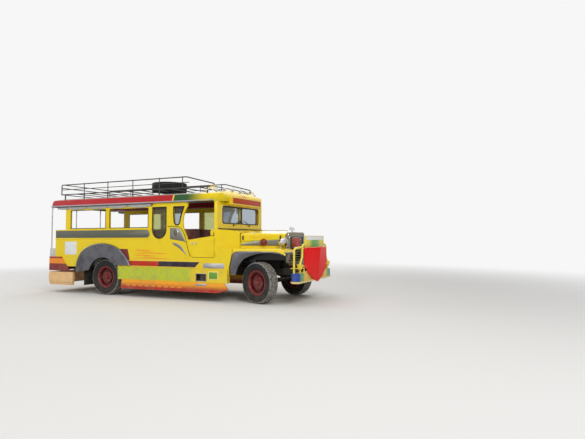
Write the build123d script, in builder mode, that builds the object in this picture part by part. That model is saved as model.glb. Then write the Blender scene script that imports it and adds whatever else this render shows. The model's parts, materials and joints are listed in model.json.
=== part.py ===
"""Jeepney: a long public utility jeep with open window bays, in millimetres.

+X is forward, +Y is the vehicle's left and +Z is up. The origin lies on the ground, midway
along the whole length and on the centreline.
"""

import os
from math import cos, hypot, radians, sin, sqrt, tan

from build123d import *

os.makedirs("parts", exist_ok=True)

# Driving dimensions
wheelbase = 3790
front_overhang = 900  # front axle to the crease of the prow shield
rear_overhang = 1760  # rear axle to the back of the rear bumper
body_half_width = 920
body_wall = 35
body_bottom = 600
sill_height = 1430
belt_height = 1225
cant_height = 1952  # where the roof sits on the body sides
header_depth = 90  # between the windows and the roof
roof_side = 158
roof_crown = 105
window_top = cant_height - header_depth
roof_edge_height = cant_height + roof_side
roof_crown_height = roof_edge_height + roof_crown
running_clearance = 0.3  # between a pin or spindle and its bore
seat_gap = 0.3  # between a loose piece and what it rests on
panel_gap = 8  # seam round a door or the bonnet

tyre_radius = 390
tyre_width = 214
track_half = 773
tyre_shoulder = 26
tyre_crown = 8
tyre_crown_inset = 12
tyre_bulge = 324
bead_inset = 26
bead_height = 24
rim_radius = 216
rim_lip = 236
bead_radius = rim_radius + 2
rest_steer = -18  # degrees about +Z: the front wheels are turned to the right

frame_rail_y = 380
frame_rail_width = 70
frame_rail_depth = 120
frame_rail_wall = 8
frame_top = 640
floor_thickness = 35

# Stations along the vehicle
front_axle_x = (wheelbase + rear_overhang + front_overhang) / 2 - front_overhang
rear_axle_x = front_axle_x - wheelbase
rear_end_x = rear_axle_x - rear_overhang
nose_x = front_axle_x + 385
cowl_front_x = front_axle_x - 555
kick_low_x = front_axle_x - 640
screen_x = front_axle_x - 885
door_front_x = front_axle_x - 955
door_rear_x = front_axle_x - 1590
body_rear_x = rear_end_x + 265
roof_rear_x = rear_end_x + 115
roof_front_x = screen_x + 100
frame_bottom = frame_top - frame_rail_depth
floor_top = frame_top + floor_thickness
body_inside = body_half_width - body_wall


def block(x_span, y_span, z_span, mode=Mode.ADD):
    """Rectangular block between two corners, in the part being built."""
    size = [high - low for low, high in (x_span, y_span, z_span)]
    middle = [(low + high) / 2 for low, high in (x_span, y_span, z_span)]
    with Locations(Vector(*middle)):
        Box(*size, mode=mode)


def bar(start, end, radius, mode=Mode.ADD):
    """Round bar from one point to another, in the part being built."""
    run = Vector(*end) - Vector(*start)
    with Locations(Plane(origin=start, z_dir=run).location):
        Cylinder(radius, run.length, align=(Align.CENTER, Align.CENTER, Align.MIN), mode=mode)


def tube_run(points, radius, bend=60):
    """Round tube through several points, bent with arcs at the corners between."""
    with BuildLine() as run:
        FilletPolyline(*points, radius=bend)
    with BuildSketch(Plane(origin=run.wire() @ 0, z_dir=run.wire() % 0)) as ring:
        Circle(radius)
    sweep(sections=ring.sketch, path=run.wire())


def across(y):
    """Plane that stands along the vehicle at height y to the left, seen from the right."""
    return Plane(origin=(0, y, 0), x_dir=(1, 0, 0), z_dir=(0, -1, 0))


def save(piece, name):
    """Label a finished piece and write it."""
    piece.part.label = name
    export_step(piece.part, f"parts/{name}.step")


# Ladder frame
rail_front_x = front_axle_x + 640
rail_rear_x = body_rear_x
cross_member_depth = 80
cross_member_length = 60
cross_member_offsets = [
    # distance ahead of the front axle
    540,
    -1620,
    -2100,
    -2700,
    -wheelbase + 620,
    -wheelbase - 620,
]
engine_front_x = front_axle_x + 120
engine_rear_x = front_axle_x - 430
engine_bottom = 560
engine_top = 1010
engine_half_width = 240
gearbox_radius = 85
gearbox_rear_x = front_axle_x - 1250
gearbox_axis_z = frame_top - gearbox_radius - 16
gearbox_bearer_x = front_axle_x - 1150
radiator_x = front_axle_x + 230
tow_eye_radius = 20
tow_eye_wall = 16
tow_eye_x = rail_front_x - 45
tow_eye_z = frame_bottom - 45
spring_width = 56
front_spring_half = 470
rear_spring_half = 590
spring_eye_radius = 17
spring_pin_radius = 8
front_spring_y = frame_rail_y
rear_spring_y = 470
front_eye_z = frame_bottom - 32
rear_eye_z = frame_bottom + 10
hanger_wall = 10
bearer_wall = 12

rail_inner = frame_rail_y - frame_rail_width / 2
rail_outer = frame_rail_y + frame_rail_width / 2
with BuildPart() as chassis_frame:
    block((rail_rear_x, rail_front_x), (rail_inner, rail_outer), (frame_bottom, frame_top))
    block(
        (rail_rear_x, rail_front_x),
        (rail_inner, rail_outer - frame_rail_wall),
        (frame_bottom + frame_rail_wall, frame_top - frame_rail_wall),
        mode=Mode.SUBTRACT,
    )
    # Tow eye under the front end of the rail
    with BuildSketch(across(frame_rail_y + tow_eye_wall / 2)) as eye_plate:
        with Locations((tow_eye_x, (tow_eye_z + frame_bottom) / 2)):
            Rectangle(76, frame_bottom - tow_eye_z)
        with Locations((tow_eye_x, tow_eye_z)):
            Circle(38)
            Circle(tow_eye_radius, mode=Mode.SUBTRACT)
    extrude(amount=tow_eye_wall)
    mirror(about=Plane.XZ)
save(chassis_frame, "chassis_frame")

with BuildPart() as cross_members:
    for place in cross_member_offsets:
        near = front_axle_x + place
        block(
            (near, near + cross_member_length),
            (-rail_inner, rail_inner),
            (frame_top - cross_member_depth, frame_top),
        )
    for near in (engine_front_x - 90, engine_rear_x + 20, radiator_x - 5):
        block((near, near + cross_member_length), (-rail_inner, rail_inner), (frame_bottom, engine_bottom))
    # Gearbox bearer, hung under both rails
    gearbox_bottom = gearbox_axis_z - gearbox_radius
    bearer = (gearbox_bearer_x, gearbox_bearer_x + cross_member_length)
    block(bearer, (-rail_outer, rail_outer), (gearbox_bottom - bearer_wall, gearbox_bottom))
    for span in ((-rail_outer, -rail_inner), (rail_inner, rail_outer)):
        block(bearer, span, (gearbox_bottom, frame_bottom))
save(cross_members, "cross_members")

# Spring hangers, each with its pin
with BuildPart() as spring_hangers:
    half = spring_width / 2 + 1
    for eye_x, eye_y, eye_z, top_z in (
        (front_axle_x + front_spring_half, front_spring_y, front_eye_z, frame_bottom),
        (front_axle_x - front_spring_half, front_spring_y, front_eye_z, frame_bottom),
        (rear_axle_x + rear_spring_half, rear_spring_y, rear_eye_z, frame_top),
        (rear_axle_x - rear_spring_half, rear_spring_y, rear_eye_z, frame_top),
    ):
        for cheek in (eye_y - half - hanger_wall, eye_y + half):
            block((eye_x - 24, eye_x + 24), (cheek, cheek + hanger_wall), (eye_z - 24, top_z))
        if eye_y > rail_outer:
            block((eye_x - 24, eye_x + 24), (rail_outer, eye_y + half + hanger_wall), (frame_top - 30, frame_top))
        pin_half = half + hanger_wall
        bar((eye_x, eye_y - pin_half, eye_z), (eye_x, eye_y + pin_half, eye_z), spring_pin_radius)
    mirror(about=Plane.XZ)
save(spring_hangers, "spring_hangers")

# Leaf springs: each pack is a main leaf with shorter leaves under it
leaf_thickness = 9
leaf_count = 4
front_pack_bottom = 424
rear_pack_bottom = 452


def leaf_arc(half_span, seat_z, eye_z):
    """Radius and centre height of a leaf that dips to seat_z between two raised ends."""
    rise = eye_z - seat_z
    radius = (half_span**2 + rise**2) / (2 * rise)
    return radius, seat_z + radius


def leaf_pack(axle_x, y, half_span, pack_bottom, eye_z):
    """One spring pack with its two rolled eyes."""
    main_seat = pack_bottom + (leaf_count - 1) * leaf_thickness
    radius, centre_z = leaf_arc(half_span, main_seat + leaf_thickness / 2, eye_z - spring_eye_radius)
    for leaf in range(leaf_count):
        reach = half_span * (1 - 0.2 * leaf)
        outer = radius + leaf_thickness * (leaf + 0.5)
        with BuildSketch(across(y + spring_width / 2)) as leaf_side:
            with Locations((axle_x, centre_z)):
                Circle(outer)
                Circle(outer - leaf_thickness, mode=Mode.SUBTRACT)
            with Locations((axle_x, pack_bottom)):
                Rectangle(2 * reach, 400, mode=Mode.INTERSECT)
        extrude(leaf_side.sketch, amount=spring_width)
    for eye_x in (axle_x - half_span, axle_x + half_span):
        ends = [(eye_x, y - spring_width / 2, eye_z), (eye_x, y + spring_width / 2, eye_z)]
        bar(*ends, spring_eye_radius)
        bar(*ends, spring_pin_radius + running_clearance, mode=Mode.SUBTRACT)


with BuildPart() as leaf_springs:
    for side in (-1, 1):
        leaf_pack(front_axle_x, side * front_spring_y, front_spring_half, front_pack_bottom, front_eye_z)
        leaf_pack(rear_axle_x, side * rear_spring_y, rear_spring_half, rear_pack_bottom, rear_eye_z)
save(leaf_springs, "leaf_springs")

# Front axle beam with a fixed kingpin at each end
kingpin_y = 650
kingpin_radius = 14
kingpin_half = 64
eye_radius = 32
eye_half = 34
beam_half_depth = 30
beam_half_width = 26
with BuildPart() as front_axle_beam:
    with BuildSketch(Plane.XZ.offset(-kingpin_y)) as beam_section:
        with Locations((front_axle_x, tyre_radius)):
            Rectangle(2 * beam_half_width, 2 * beam_half_depth)
        with Locations((front_axle_x - beam_half_width, tyre_radius), (front_axle_x + beam_half_width, tyre_radius)):
            Rectangle(2 * beam_half_width - 14, 2 * beam_half_depth - 22, mode=Mode.SUBTRACT)
    extrude(amount=2 * kingpin_y)
    for side in (-1, 1):
        pin = side * kingpin_y
        bar((front_axle_x, pin, tyre_radius - eye_half), (front_axle_x, pin, tyre_radius + eye_half), eye_radius)
        bar(
            (front_axle_x, pin, tyre_radius - kingpin_half),
            (front_axle_x, pin, tyre_radius + kingpin_half),
            kingpin_radius,
        )
        block(
            (front_axle_x - 60, front_axle_x + 60),
            (side * front_spring_y - spring_width / 2, side * front_spring_y + spring_width / 2),
            (tyre_radius + beam_half_depth - 12, front_pack_bottom),
        )
save(front_axle_beam, "front_axle_beam")

# Steering knuckles: a fork on the kingpin, a spindle and an arm that trails to the tie rod
knuckle_arm_length = 165
arm_z = tyre_radius - 62
fork_wall = 22
fork_gap = 1
spindle_radius = 24
spindle_end = track_half + 62
steer_cos = cos(radians(rest_steer))
steer_sin = sin(radians(rest_steer))
tie_pin_radius = 8
tie_rod_radius = 14


def turned(side, ahead, outboard, z):
    """Point on a steered wheel's hub, turned about its kingpin to the rest angle."""
    local_y = side * outboard
    return (
        front_axle_x + ahead * steer_cos - local_y * steer_sin,
        side * kingpin_y + ahead * steer_sin + local_y * steer_cos,
        z,
    )


def knuckle(side):
    """Steering knuckle for the left (+1) or right (-1) wheel, at the rest steering angle."""
    fork_low = tyre_radius - eye_half - fork_gap - fork_wall
    fork_high = tyre_radius + eye_half + fork_gap
    turn = Plane(origin=(front_axle_x, side * kingpin_y, 0), x_dir=(steer_cos, steer_sin, 0), z_dir=(0, 0, 1))
    with BuildPart(turn) as fork:
        for low in (fork_low, fork_high):
            with BuildSketch(turn.offset(low)) as cheek:
                Circle(30)
                with Locations((0, side * 30)):
                    Rectangle(60, 60)
            extrude(cheek.sketch, amount=fork_wall)
        with Locations((0, side * 52, (fork_low + fork_high + fork_wall) / 2)):
            Box(60, 24, fork_high + fork_wall - fork_low)
        with Locations((0, 0, tyre_radius)):
            Cylinder(kingpin_radius + running_clearance, 4 * eye_half, mode=Mode.SUBTRACT)
        with Locations((-knuckle_arm_length / 2, 0, fork_low + 6)):
            Box(knuckle_arm_length, 30, 12)
        with Locations((-knuckle_arm_length, 0, fork_low + 6)):
            Cylinder(17, 12)
        with Locations((-knuckle_arm_length, 0, fork_low - 14)):
            Cylinder(tie_pin_radius, 40)
        with Locations((0, 0, fork_low + 6)):
            Cylinder(kingpin_radius + running_clearance, 30, mode=Mode.SUBTRACT)
    with BuildPart() as whole:
        add(fork.part)
        bar(turned(side, 0, 50, tyre_radius), turned(side, 0, spindle_end - kingpin_y, tyre_radius), spindle_radius)
    return whole


knuckle_right = knuckle(-1)
save(knuckle_right, "knuckle_right")
knuckle_left = knuckle(1)
save(knuckle_left, "knuckle_left")

with BuildPart() as tie_rod:
    rod_ends = [turned(side, -knuckle_arm_length, 0, 0) for side in (-1, 1)]
    rod_z = tyre_radius - eye_half - fork_gap - fork_wall - 16
    rod_x = rod_ends[0][0]
    bar((rod_x, rod_ends[0][1], rod_z), (rod_x, rod_ends[1][1], rod_z), tie_rod_radius)
    for end_x, end_y, _ in rod_ends:
        bar((end_x, end_y, rod_z - 13), (end_x, end_y, rod_z + 13), 19)
    for end_x, end_y, _ in rod_ends:
        bar(
            (end_x, end_y, rod_z - 20),
            (end_x, end_y, rod_z + 20),
            tie_pin_radius + running_clearance,
            mode=Mode.SUBTRACT,
        )
save(tie_rod, "tie_rod")

# Rear axle: housing with its bulb, spring seats and end spindles
axle_tube_radius = 45
bulb_radius = 135
with BuildPart() as rear_axle_housing:
    bar((rear_axle_x, -650, tyre_radius), (rear_axle_x, 650, tyre_radius), axle_tube_radius)
    bar((rear_axle_x, -spindle_end, tyre_radius), (rear_axle_x, spindle_end, tyre_radius), spindle_radius)
    with Locations((rear_axle_x, 0, tyre_radius)):
        Sphere(bulb_radius)
    with Locations(Plane(origin=(rear_axle_x, 0, tyre_radius), z_dir=(1, 0, 0.05)).location):
        Cone(110, 48, 240, align=(Align.CENTER, Align.CENTER, Align.MIN))
    for side in (-1, 1):
        block(
            (rear_axle_x - 55, rear_axle_x + 55),
            (side * rear_spring_y - spring_width / 2, side * rear_spring_y + spring_width / 2),
            (tyre_radius, rear_pack_bottom),
        )
save(rear_axle_housing, "rear_axle_housing")

# Drive line and engine: plain blocks at their real places
pinion_x = rear_axle_x + 240
pinion_z = tyre_radius + 12
with BuildPart() as engine_block:
    block(
        (engine_rear_x, engine_front_x),
        (-engine_half_width, engine_half_width),
        (engine_bottom, engine_top),
    )
    fillet(engine_block.edges().filter_by(Axis.Z), 30)
save(engine_block, "engine_block")

with BuildPart() as gearbox:
    with Locations(Plane(origin=(gearbox_rear_x, 0, gearbox_axis_z), z_dir=(1, 0, 0)).location):
        Cylinder(
            gearbox_radius,
            engine_rear_x - gearbox_rear_x,
            align=(Align.CENTER, Align.CENTER, Align.MIN),
        )
save(gearbox, "gearbox")

with BuildPart() as drive_shaft:
    start = Vector(gearbox_rear_x - seat_gap, 0, gearbox_axis_z)
    end = Vector(pinion_x + 8, 0, pinion_z)
    bar(start, end, 36)
    bar(end, end + (start - end).normalized() * 40, 58)
    bar(start, start + (end - start).normalized() * 40, 58)
    block((start.X, start.X + 120), (-90, 90), (300, 700), mode=Mode.SUBTRACT)
save(drive_shaft, "drive_shaft")

with BuildPart() as radiator:
    block((radiator_x, radiator_x + 55), (-280, 280), (engine_bottom, 1130))
    fillet(radiator.edges().filter_by(Axis.X), 25)
save(radiator, "radiator")

# Exhaust: down pipe, silencer and tail pipe beside the drive shaft
exhaust_y = 290
exhaust_z = 485
exhaust_radius = 27
silencer_x = (front_axle_x - 2350, front_axle_x - 1750)
with BuildPart() as exhaust_pipe:
    with BuildLine() as exhaust_path:
        FilletPolyline(
            (front_axle_x - 250, engine_half_width + seat_gap, 760),
            (front_axle_x - 250, exhaust_y, 760),
            (front_axle_x - 290, exhaust_y, exhaust_z),
            (rear_end_x + 330, exhaust_y, exhaust_z),
            radius=42,
        )
    with BuildSketch(Plane(origin=exhaust_path.wire() @ 0, z_dir=exhaust_path.wire() % 0)):
        Circle(exhaust_radius)
    sweep()
    bar((silencer_x[0], exhaust_y, exhaust_z), (silencer_x[1], exhaust_y, exhaust_z), 46)
    for strap_x in (front_axle_x - 2070, rear_axle_x - 590):
        block((strap_x - 15, strap_x + 15), (exhaust_y - 4, exhaust_y + 4), (exhaust_z + 20, frame_top - cross_member_depth))
save(exhaust_pipe, "exhaust_pipe")

with BuildPart() as fuel_tank:
    tank_x = (front_axle_x - 2650, front_axle_x - 1850)
    block(tank_x, (450, 800), (400, frame_top - 20))
    fillet(fuel_tank.edges().filter_by(Axis.X), 40)
    for strap_x in (tank_x[0] + 160, tank_x[1] - 160):
        block((strap_x - 20, strap_x + 20), (rail_outer, 780), (frame_top - 30, frame_top))
save(fuel_tank, "fuel_tank")

# Wheels
rim_dish = 46
hub_radius = 62
hub_length = 96


def wheel_plane(x, side, steered):
    """Plane whose Z axis runs outward along the wheel's spin axis, at the tyre's middle."""
    if steered:
        centre = turned(side, 0, track_half - kingpin_y, tyre_radius)
        out = (-side * steer_sin, side * steer_cos, 0)
    else:
        centre = (x, side * track_half, tyre_radius)
        out = (0, side, 0)
    return Plane(origin=centre, x_dir=(0, 0, 1), z_dir=out)


def tyre(plane):
    """Tyre: a revolved section with a crowned tread, shoulders and bulged side walls."""
    half = tyre_width / 2
    bead_half = half - bead_inset
    with BuildPart() as rubber:
        with BuildSketch(Plane(origin=plane.origin, x_dir=plane.x_dir, z_dir=plane.y_dir)) as section:
            with BuildLine():
                Line((tyre_radius, -half / 2), (tyre_radius, half / 2))
                for end in (1, -1):
                    Polyline(
                        (tyre_radius, end * half / 2),
                        (tyre_radius - tyre_crown, end * (half - tyre_crown_inset)),
                        (tyre_radius - tyre_shoulder, end * (half - 3)),
                        (tyre_bulge, end * half),
                        (tyre_bulge - 40, end * (half - 5)),
                        (bead_radius + bead_height, end * bead_half),
                        (bead_radius, end * bead_half),
                    )
                Line((bead_radius, -bead_half), (bead_radius, bead_half))
            make_face()
        revolve(axis=Axis(plane.origin, plane.z_dir))
    return rubber


def rim(plane):
    """Rim: a drop-centre barrel with lips, a dished disc, a hub with its bore, and a drum."""
    half = tyre_width / 2 - bead_inset
    disc_at = 22
    with BuildPart() as steel:
        with BuildSketch(Plane(origin=plane.origin, x_dir=plane.x_dir, z_dir=plane.y_dir)) as section:
            with BuildLine():
                Polyline(
                    (spindle_radius + running_clearance, -hub_length / 2),
                    (hub_radius + 60, -hub_length / 2),
                    (hub_radius + 60, -8),
                    (hub_radius, -8),
                    (hub_radius, disc_at - 4),
                    (hub_radius + 30, disc_at + rim_dish - 24),
                    (rim_radius - 22, disc_at - 6),
                    (rim_radius - 22, -half + 14),
                    (rim_radius - 7, -half - 8),
                    (rim_lip, -half - 8),
                    (rim_lip, -half - seat_gap),
                    (bead_radius - seat_gap, -half - seat_gap),
                    (bead_radius - seat_gap, half + seat_gap),
                    (rim_lip, half + seat_gap),
                    (rim_lip, half + 8),
                    (rim_radius - 4, half + 8),
                    (rim_radius - 12, half - 6),
                    (rim_radius - 16, disc_at + 6),
                    (hub_radius + 34, disc_at + rim_dish - 12),
                    (hub_radius + 4, disc_at + 8),
                    (hub_radius - 8, disc_at + 8),
                    (hub_radius - 14, hub_length / 2),
                    (spindle_radius + running_clearance, hub_length / 2),
                    close=True,
                )
            make_face()
        revolve(axis=Axis(plane.origin, plane.z_dir))
        with Locations(Plane(origin=plane.origin, x_dir=plane.x_dir, z_dir=plane.z_dir).location):
            with PolarLocations(rim_radius - 45, 6):
                with Locations((0, 0, disc_at + 20)):
                    Cylinder(13, 90, mode=Mode.SUBTRACT)
    return steel


for corner, axle_x, side, steered in (
    ("front_right", front_axle_x, -1, True),
    ("front_left", front_axle_x, 1, True),
    ("rear_right", rear_axle_x, -1, False),
    ("rear_left", rear_axle_x, 1, False),
):
    plane = wheel_plane(axle_x, side, steered)
    save(tyre(plane), f"tyre_{corner}")
    save(rim(plane), f"rim_{corner}")

# Floor with its wheel boxes
wheel_box_radius = 440
wheel_box_wall = 12
wheel_box_inside = 640
floor_front_x = kick_low_x
with BuildPart() as floor:
    block((body_rear_x, floor_front_x), (-body_inside, body_inside), (frame_top, floor_top))
    with Locations((rear_axle_x, 0, tyre_radius)):
        for side in (-1, 1):
            with Locations(Plane(origin=(0, side * wheel_box_inside, 0), z_dir=(0, side, 0)).location):
                Cylinder(
                    wheel_box_radius + wheel_box_wall,
                    body_inside - wheel_box_inside,
                    align=(Align.CENTER, Align.CENTER, Align.MIN),
                )
                with Locations((0, 0, wheel_box_wall)):
                    Cylinder(
                        wheel_box_radius,
                        body_inside,
                        align=(Align.CENTER, Align.CENTER, Align.MIN),
                        mode=Mode.SUBTRACT,
                    )
    block(
        (rear_axle_x - 600, rear_axle_x + 600),
        (-body_half_width, body_half_width),
        (-200, frame_top),
        mode=Mode.SUBTRACT,
    )
save(floor, "floor")

# Side panels: the load body's walls with window bays, belt and wheel arch
wheel_arch_radius = 432
rear_post_x = front_axle_x - 4970
door_sill_height = 845
door_top_rear = 1195
door_top_front = 1275
windows = [
    # front edge and rear edge behind the front axle, bottom height, corner radius
    (3755, 4810, sill_height + 22, 12),
    (2580, 3640, sill_height + 22, 12),
]
tall_window = (2120, 2460, belt_height + 8, 150)
quarter_bottom = window_top - 362
quarter_rear = front_axle_x - 1925
quarter_front = front_axle_x - 1668
bead_proud = 9
bead_half = 9


def side_panel(side):
    """Right (-1) or left (+1) body side, from the rear end to the front of the door opening."""
    outer = side * body_half_width
    plane = across(body_half_width) if side > 0 else across(-body_half_width + body_wall)
    with BuildPart() as wall:
        with BuildSketch(plane):
            with BuildLine():
                rear_low = (body_rear_x, body_bottom)
                Polyline(
                    (door_front_x, body_bottom),
                    rear_low,
                    (body_rear_x, sill_height),
                    (rear_post_x, sill_height),
                    (rear_post_x, cant_height),
                    (front_axle_x - 1585, cant_height),
                    (front_axle_x - 1585, window_top + 10),
                )
                pillar = ThreePointArc(
                    (front_axle_x - 1585, window_top + 10),
                    (front_axle_x - 1700, window_top - 262),
                    (front_axle_x - 1640, window_top - 532),
                )
                rear_edge = ThreePointArc(
                    pillar @ 1,
                    (front_axle_x - 1555, 1130),
                    (front_axle_x - 1478, door_sill_height),
                )
                Polyline(rear_edge @ 1, (door_front_x, door_sill_height), (door_front_x, body_bottom))
            make_face()
            for front, rear, bottom, corner in windows:
                with Locations((front_axle_x - (front + rear) / 2, (bottom + window_top) / 2)):
                    RectangleRounded(rear - front, window_top - bottom, corner, mode=Mode.SUBTRACT)
            front, rear, bottom, corner = tall_window
            middle = front_axle_x - (front + rear) / 2
            with BuildLine():
                Polyline(
                    (middle - (rear - front) / 2, bottom + corner),
                    (middle - (rear - front) / 2, window_top),
                    (middle + (rear - front) / 2, window_top),
                    (middle + (rear - front) / 2, bottom + corner),
                )
                ThreePointArc(
                    (middle - (rear - front) / 2, bottom + corner),
                    (middle, bottom),
                    (middle + (rear - front) / 2, bottom + corner),
                )
            make_face(mode=Mode.SUBTRACT)
            with BuildLine():
                corner_rear = (front_axle_x - 1908, quarter_bottom + 60)
                corner_front = (front_axle_x - 1772, quarter_bottom + 60)
                Polyline(
                    corner_rear,
                    (quarter_rear, quarter_bottom + 200),
                    (quarter_rear, window_top),
                    (quarter_front, window_top),
                )
                ThreePointArc(
                    (quarter_front, window_top),
                    (front_axle_x - 1745, quarter_bottom + 180),
                    corner_front,
                )
                ThreePointArc(corner_front, (front_axle_x - 1840, quarter_bottom), corner_rear)
            make_face(mode=Mode.SUBTRACT)
            with Locations((rear_axle_x, tyre_radius)):
                Circle(wheel_arch_radius, mode=Mode.SUBTRACT)
        extrude(amount=body_wall)
        # Raised beads along the sill and the belt
        for height in (sill_height - bead_half, belt_height):
            bar(
                (body_rear_x, outer, height),
                (tall_window_front_x if height == belt_height else front_axle_x - 2520, outer, height),
                bead_proud,
            )
    return wall


tall_window_front_x = front_axle_x - tall_window[1] - 40
side_panel_right = side_panel(-1)
save(side_panel_right, "side_panel_right")
side_panel_left = side_panel(1)
save(side_panel_left, "side_panel_left")

# Rear panels either side of the open doorway
doorway_half = 340
with BuildPart() as rear_panels:
    block(
        (body_rear_x, body_rear_x + body_wall),
        (doorway_half, body_inside),
        (floor_top, sill_height),
    )
    fillet(rear_panels.edges().filter_by(Axis.X).group_by(Axis.Z)[-1].sort_by(Axis.Y)[0:1], 60)
    mirror(about=Plane.XZ)
save(rear_panels, "rear_panels")

# Hinges: doors on pins at their front edge, the bonnet on pins over the cowl
door_hinge_x = door_front_x - 3
door_hinge_y = body_half_width + 15
door_front_gap = 5
door_hinge_heights = (935, 1180)
hinge_radius = 9
hinge_pin_radius = 4
knuckle_half = 28
lug_length = 14
pin_end_gap = 1
bonnet_hinge_x = cowl_front_x + panel_gap / 2
bonnet_hinge_ys = (-250, 250)

# Cowl: scuttle, kick panels, firewall and dashboard
cowl_top_rear = 1400
cowl_top_front = 1362
bonnet_hinge_z = cowl_top_front + 12
dash_depth = 110
kick_joint_z = 965
skirt_low_z = 600
fender_half = 905
fender_top = 1030
fender_lip = 60
fender_wall = 14
cowl_front_half = 640
firewall = 40
with BuildPart() as cowl:
    with BuildSketch(across(body_half_width)) as kick:
        with BuildLine():
            Polyline(
                (door_front_x, body_bottom),
                (door_front_x, cowl_top_rear),
                (screen_x, cowl_top_rear),
                (cowl_front_x, cowl_top_front),
                (cowl_front_x, kick_joint_z),
                (kick_low_x, skirt_low_z),
                close=True,
            )
        make_face()
    extrude(amount=body_wall)
    block((kick_low_x, kick_low_x + firewall), (0, fender_half - fender_lip), (frame_top, cowl_top_front))
    block((kick_low_x, kick_low_x + firewall), (0, body_inside), (fender_top, cowl_top_front))
    with BuildSketch(across(body_inside)) as scuttle:
        with BuildLine():
            Polyline(
                (door_front_x - dash_depth, cowl_top_rear - 40),
                (door_front_x - dash_depth + 20, cowl_top_rear),
                (screen_x, cowl_top_rear),
                (cowl_front_x, cowl_top_front),
                (cowl_front_x, cowl_top_front - 35),
                (screen_x, cowl_top_rear - 38),
                (door_front_x - 40, cowl_top_rear - 60),
                (door_front_x - 60, cowl_top_rear - 230),
                (door_front_x - dash_depth + 5, cowl_top_rear - 230),
                close=True,
            )
        make_face()
    extrude(amount=body_inside)
    # Above the fender the side is drawn in from the windscreen to the bonnet's width
    with BuildSketch(Plane.XY.offset(fender_top)):
        Polygon(
            (screen_x, body_half_width + 1),
            (cowl_front_x + 1, cowl_front_half),
            (cowl_front_x + 1, body_half_width + 1),
            align=None,
        )
    extrude(amount=cowl_top_rear - fender_top + 1, mode=Mode.SUBTRACT)
    with BuildSketch(Plane.XY.offset(fender_top)):
        Polygon(
            (screen_x, body_half_width),
            (cowl_front_x, cowl_front_half),
            (cowl_front_x, cowl_front_half - body_wall),
            (screen_x, body_inside),
            align=None,
        )
    extrude(amount=cowl_top_front - fender_top)
    with BuildSketch(Plane.XY.offset(fender_top - fender_wall)):
        Polygon(
            (screen_x, body_half_width),
            (cowl_front_x, body_half_width),
            (cowl_front_x, cowl_front_half - body_wall),
            (screen_x, body_inside),
            align=None,
        )
    extrude(amount=fender_wall)
    for height in door_hinge_heights:
        reach = knuckle_half + pin_end_gap + lug_length
        for low in (height - reach, height + knuckle_half + pin_end_gap):
            bar((door_hinge_x, door_hinge_y, low), (door_hinge_x, door_hinge_y, low + lug_length), hinge_radius)
            block(
                (door_hinge_x, door_front_x + 26),
                (body_half_width - 2, door_hinge_y + hinge_radius - 4),
                (low, low + lug_length),
            )
        bar((door_hinge_x, door_hinge_y, height - reach), (door_hinge_x, door_hinge_y, height + reach), hinge_pin_radius)
    hinge_y = bonnet_hinge_ys[1]
    reach = knuckle_half + pin_end_gap + lug_length
    for low in (hinge_y - reach, hinge_y + knuckle_half + pin_end_gap):
        bar((bonnet_hinge_x, low, bonnet_hinge_z), (bonnet_hinge_x, low + lug_length, bonnet_hinge_z), hinge_radius)
        block(
            (cowl_front_x - 24, bonnet_hinge_x),
            (low, low + lug_length),
            (cowl_top_front - 6, bonnet_hinge_z + hinge_radius - 4),
        )
    bar(
        (bonnet_hinge_x, hinge_y - reach, bonnet_hinge_z),
        (bonnet_hinge_x, hinge_y + reach, bonnet_hinge_z),
        hinge_pin_radius,
    )
    mirror(about=Plane.XZ)
save(cowl, "cowl")

# Windscreen frame with two panes
frame_depth = 70
pane_inner = 20
pane_outer = 745
pane_top = cant_height - 92
pane_bottom = pane_top - 330
pane_corner = 55
glass_thickness = 5
glass_x = screen_x - 30
with BuildPart() as windscreen_frame:
    with BuildSketch(Plane.YZ.offset(screen_x - frame_depth)) as opening:
        with Locations((0, (cowl_top_rear + cant_height) / 2)):
            Rectangle(2 * body_half_width, cant_height - cowl_top_rear)
        for side in (-1, 1):
            with Locations((side * (pane_inner + pane_outer) / 2, (pane_bottom + pane_top) / 2)):
                RectangleRounded(pane_outer - pane_inner, pane_top - pane_bottom, pane_corner, mode=Mode.SUBTRACT)
    extrude(amount=frame_depth)
save(windscreen_frame, "windscreen_frame")

with BuildPart() as windscreen_glass:
    with BuildSketch(Plane.YZ.offset(glass_x)):
        for side in (-1, 1):
            with Locations((side * (pane_inner + pane_outer) / 2, (pane_bottom + pane_top) / 2)):
                RectangleRounded(
                    pane_outer - pane_inner - 2 * seat_gap,
                    pane_top - pane_bottom - 2 * seat_gap,
                    pane_corner - seat_gap,
                )
    extrude(amount=glass_thickness)
save(windscreen_glass, "windscreen_glass")

# Roof: a crowned shell with a gutter lip and rounded ends
gutter_half_width = 955
gutter_height = 30
gutter_depth = 28
roof_skin = 28
roof_edge_half_width = 880
roof_corner = 300
roof_rear_corner = 90


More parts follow.
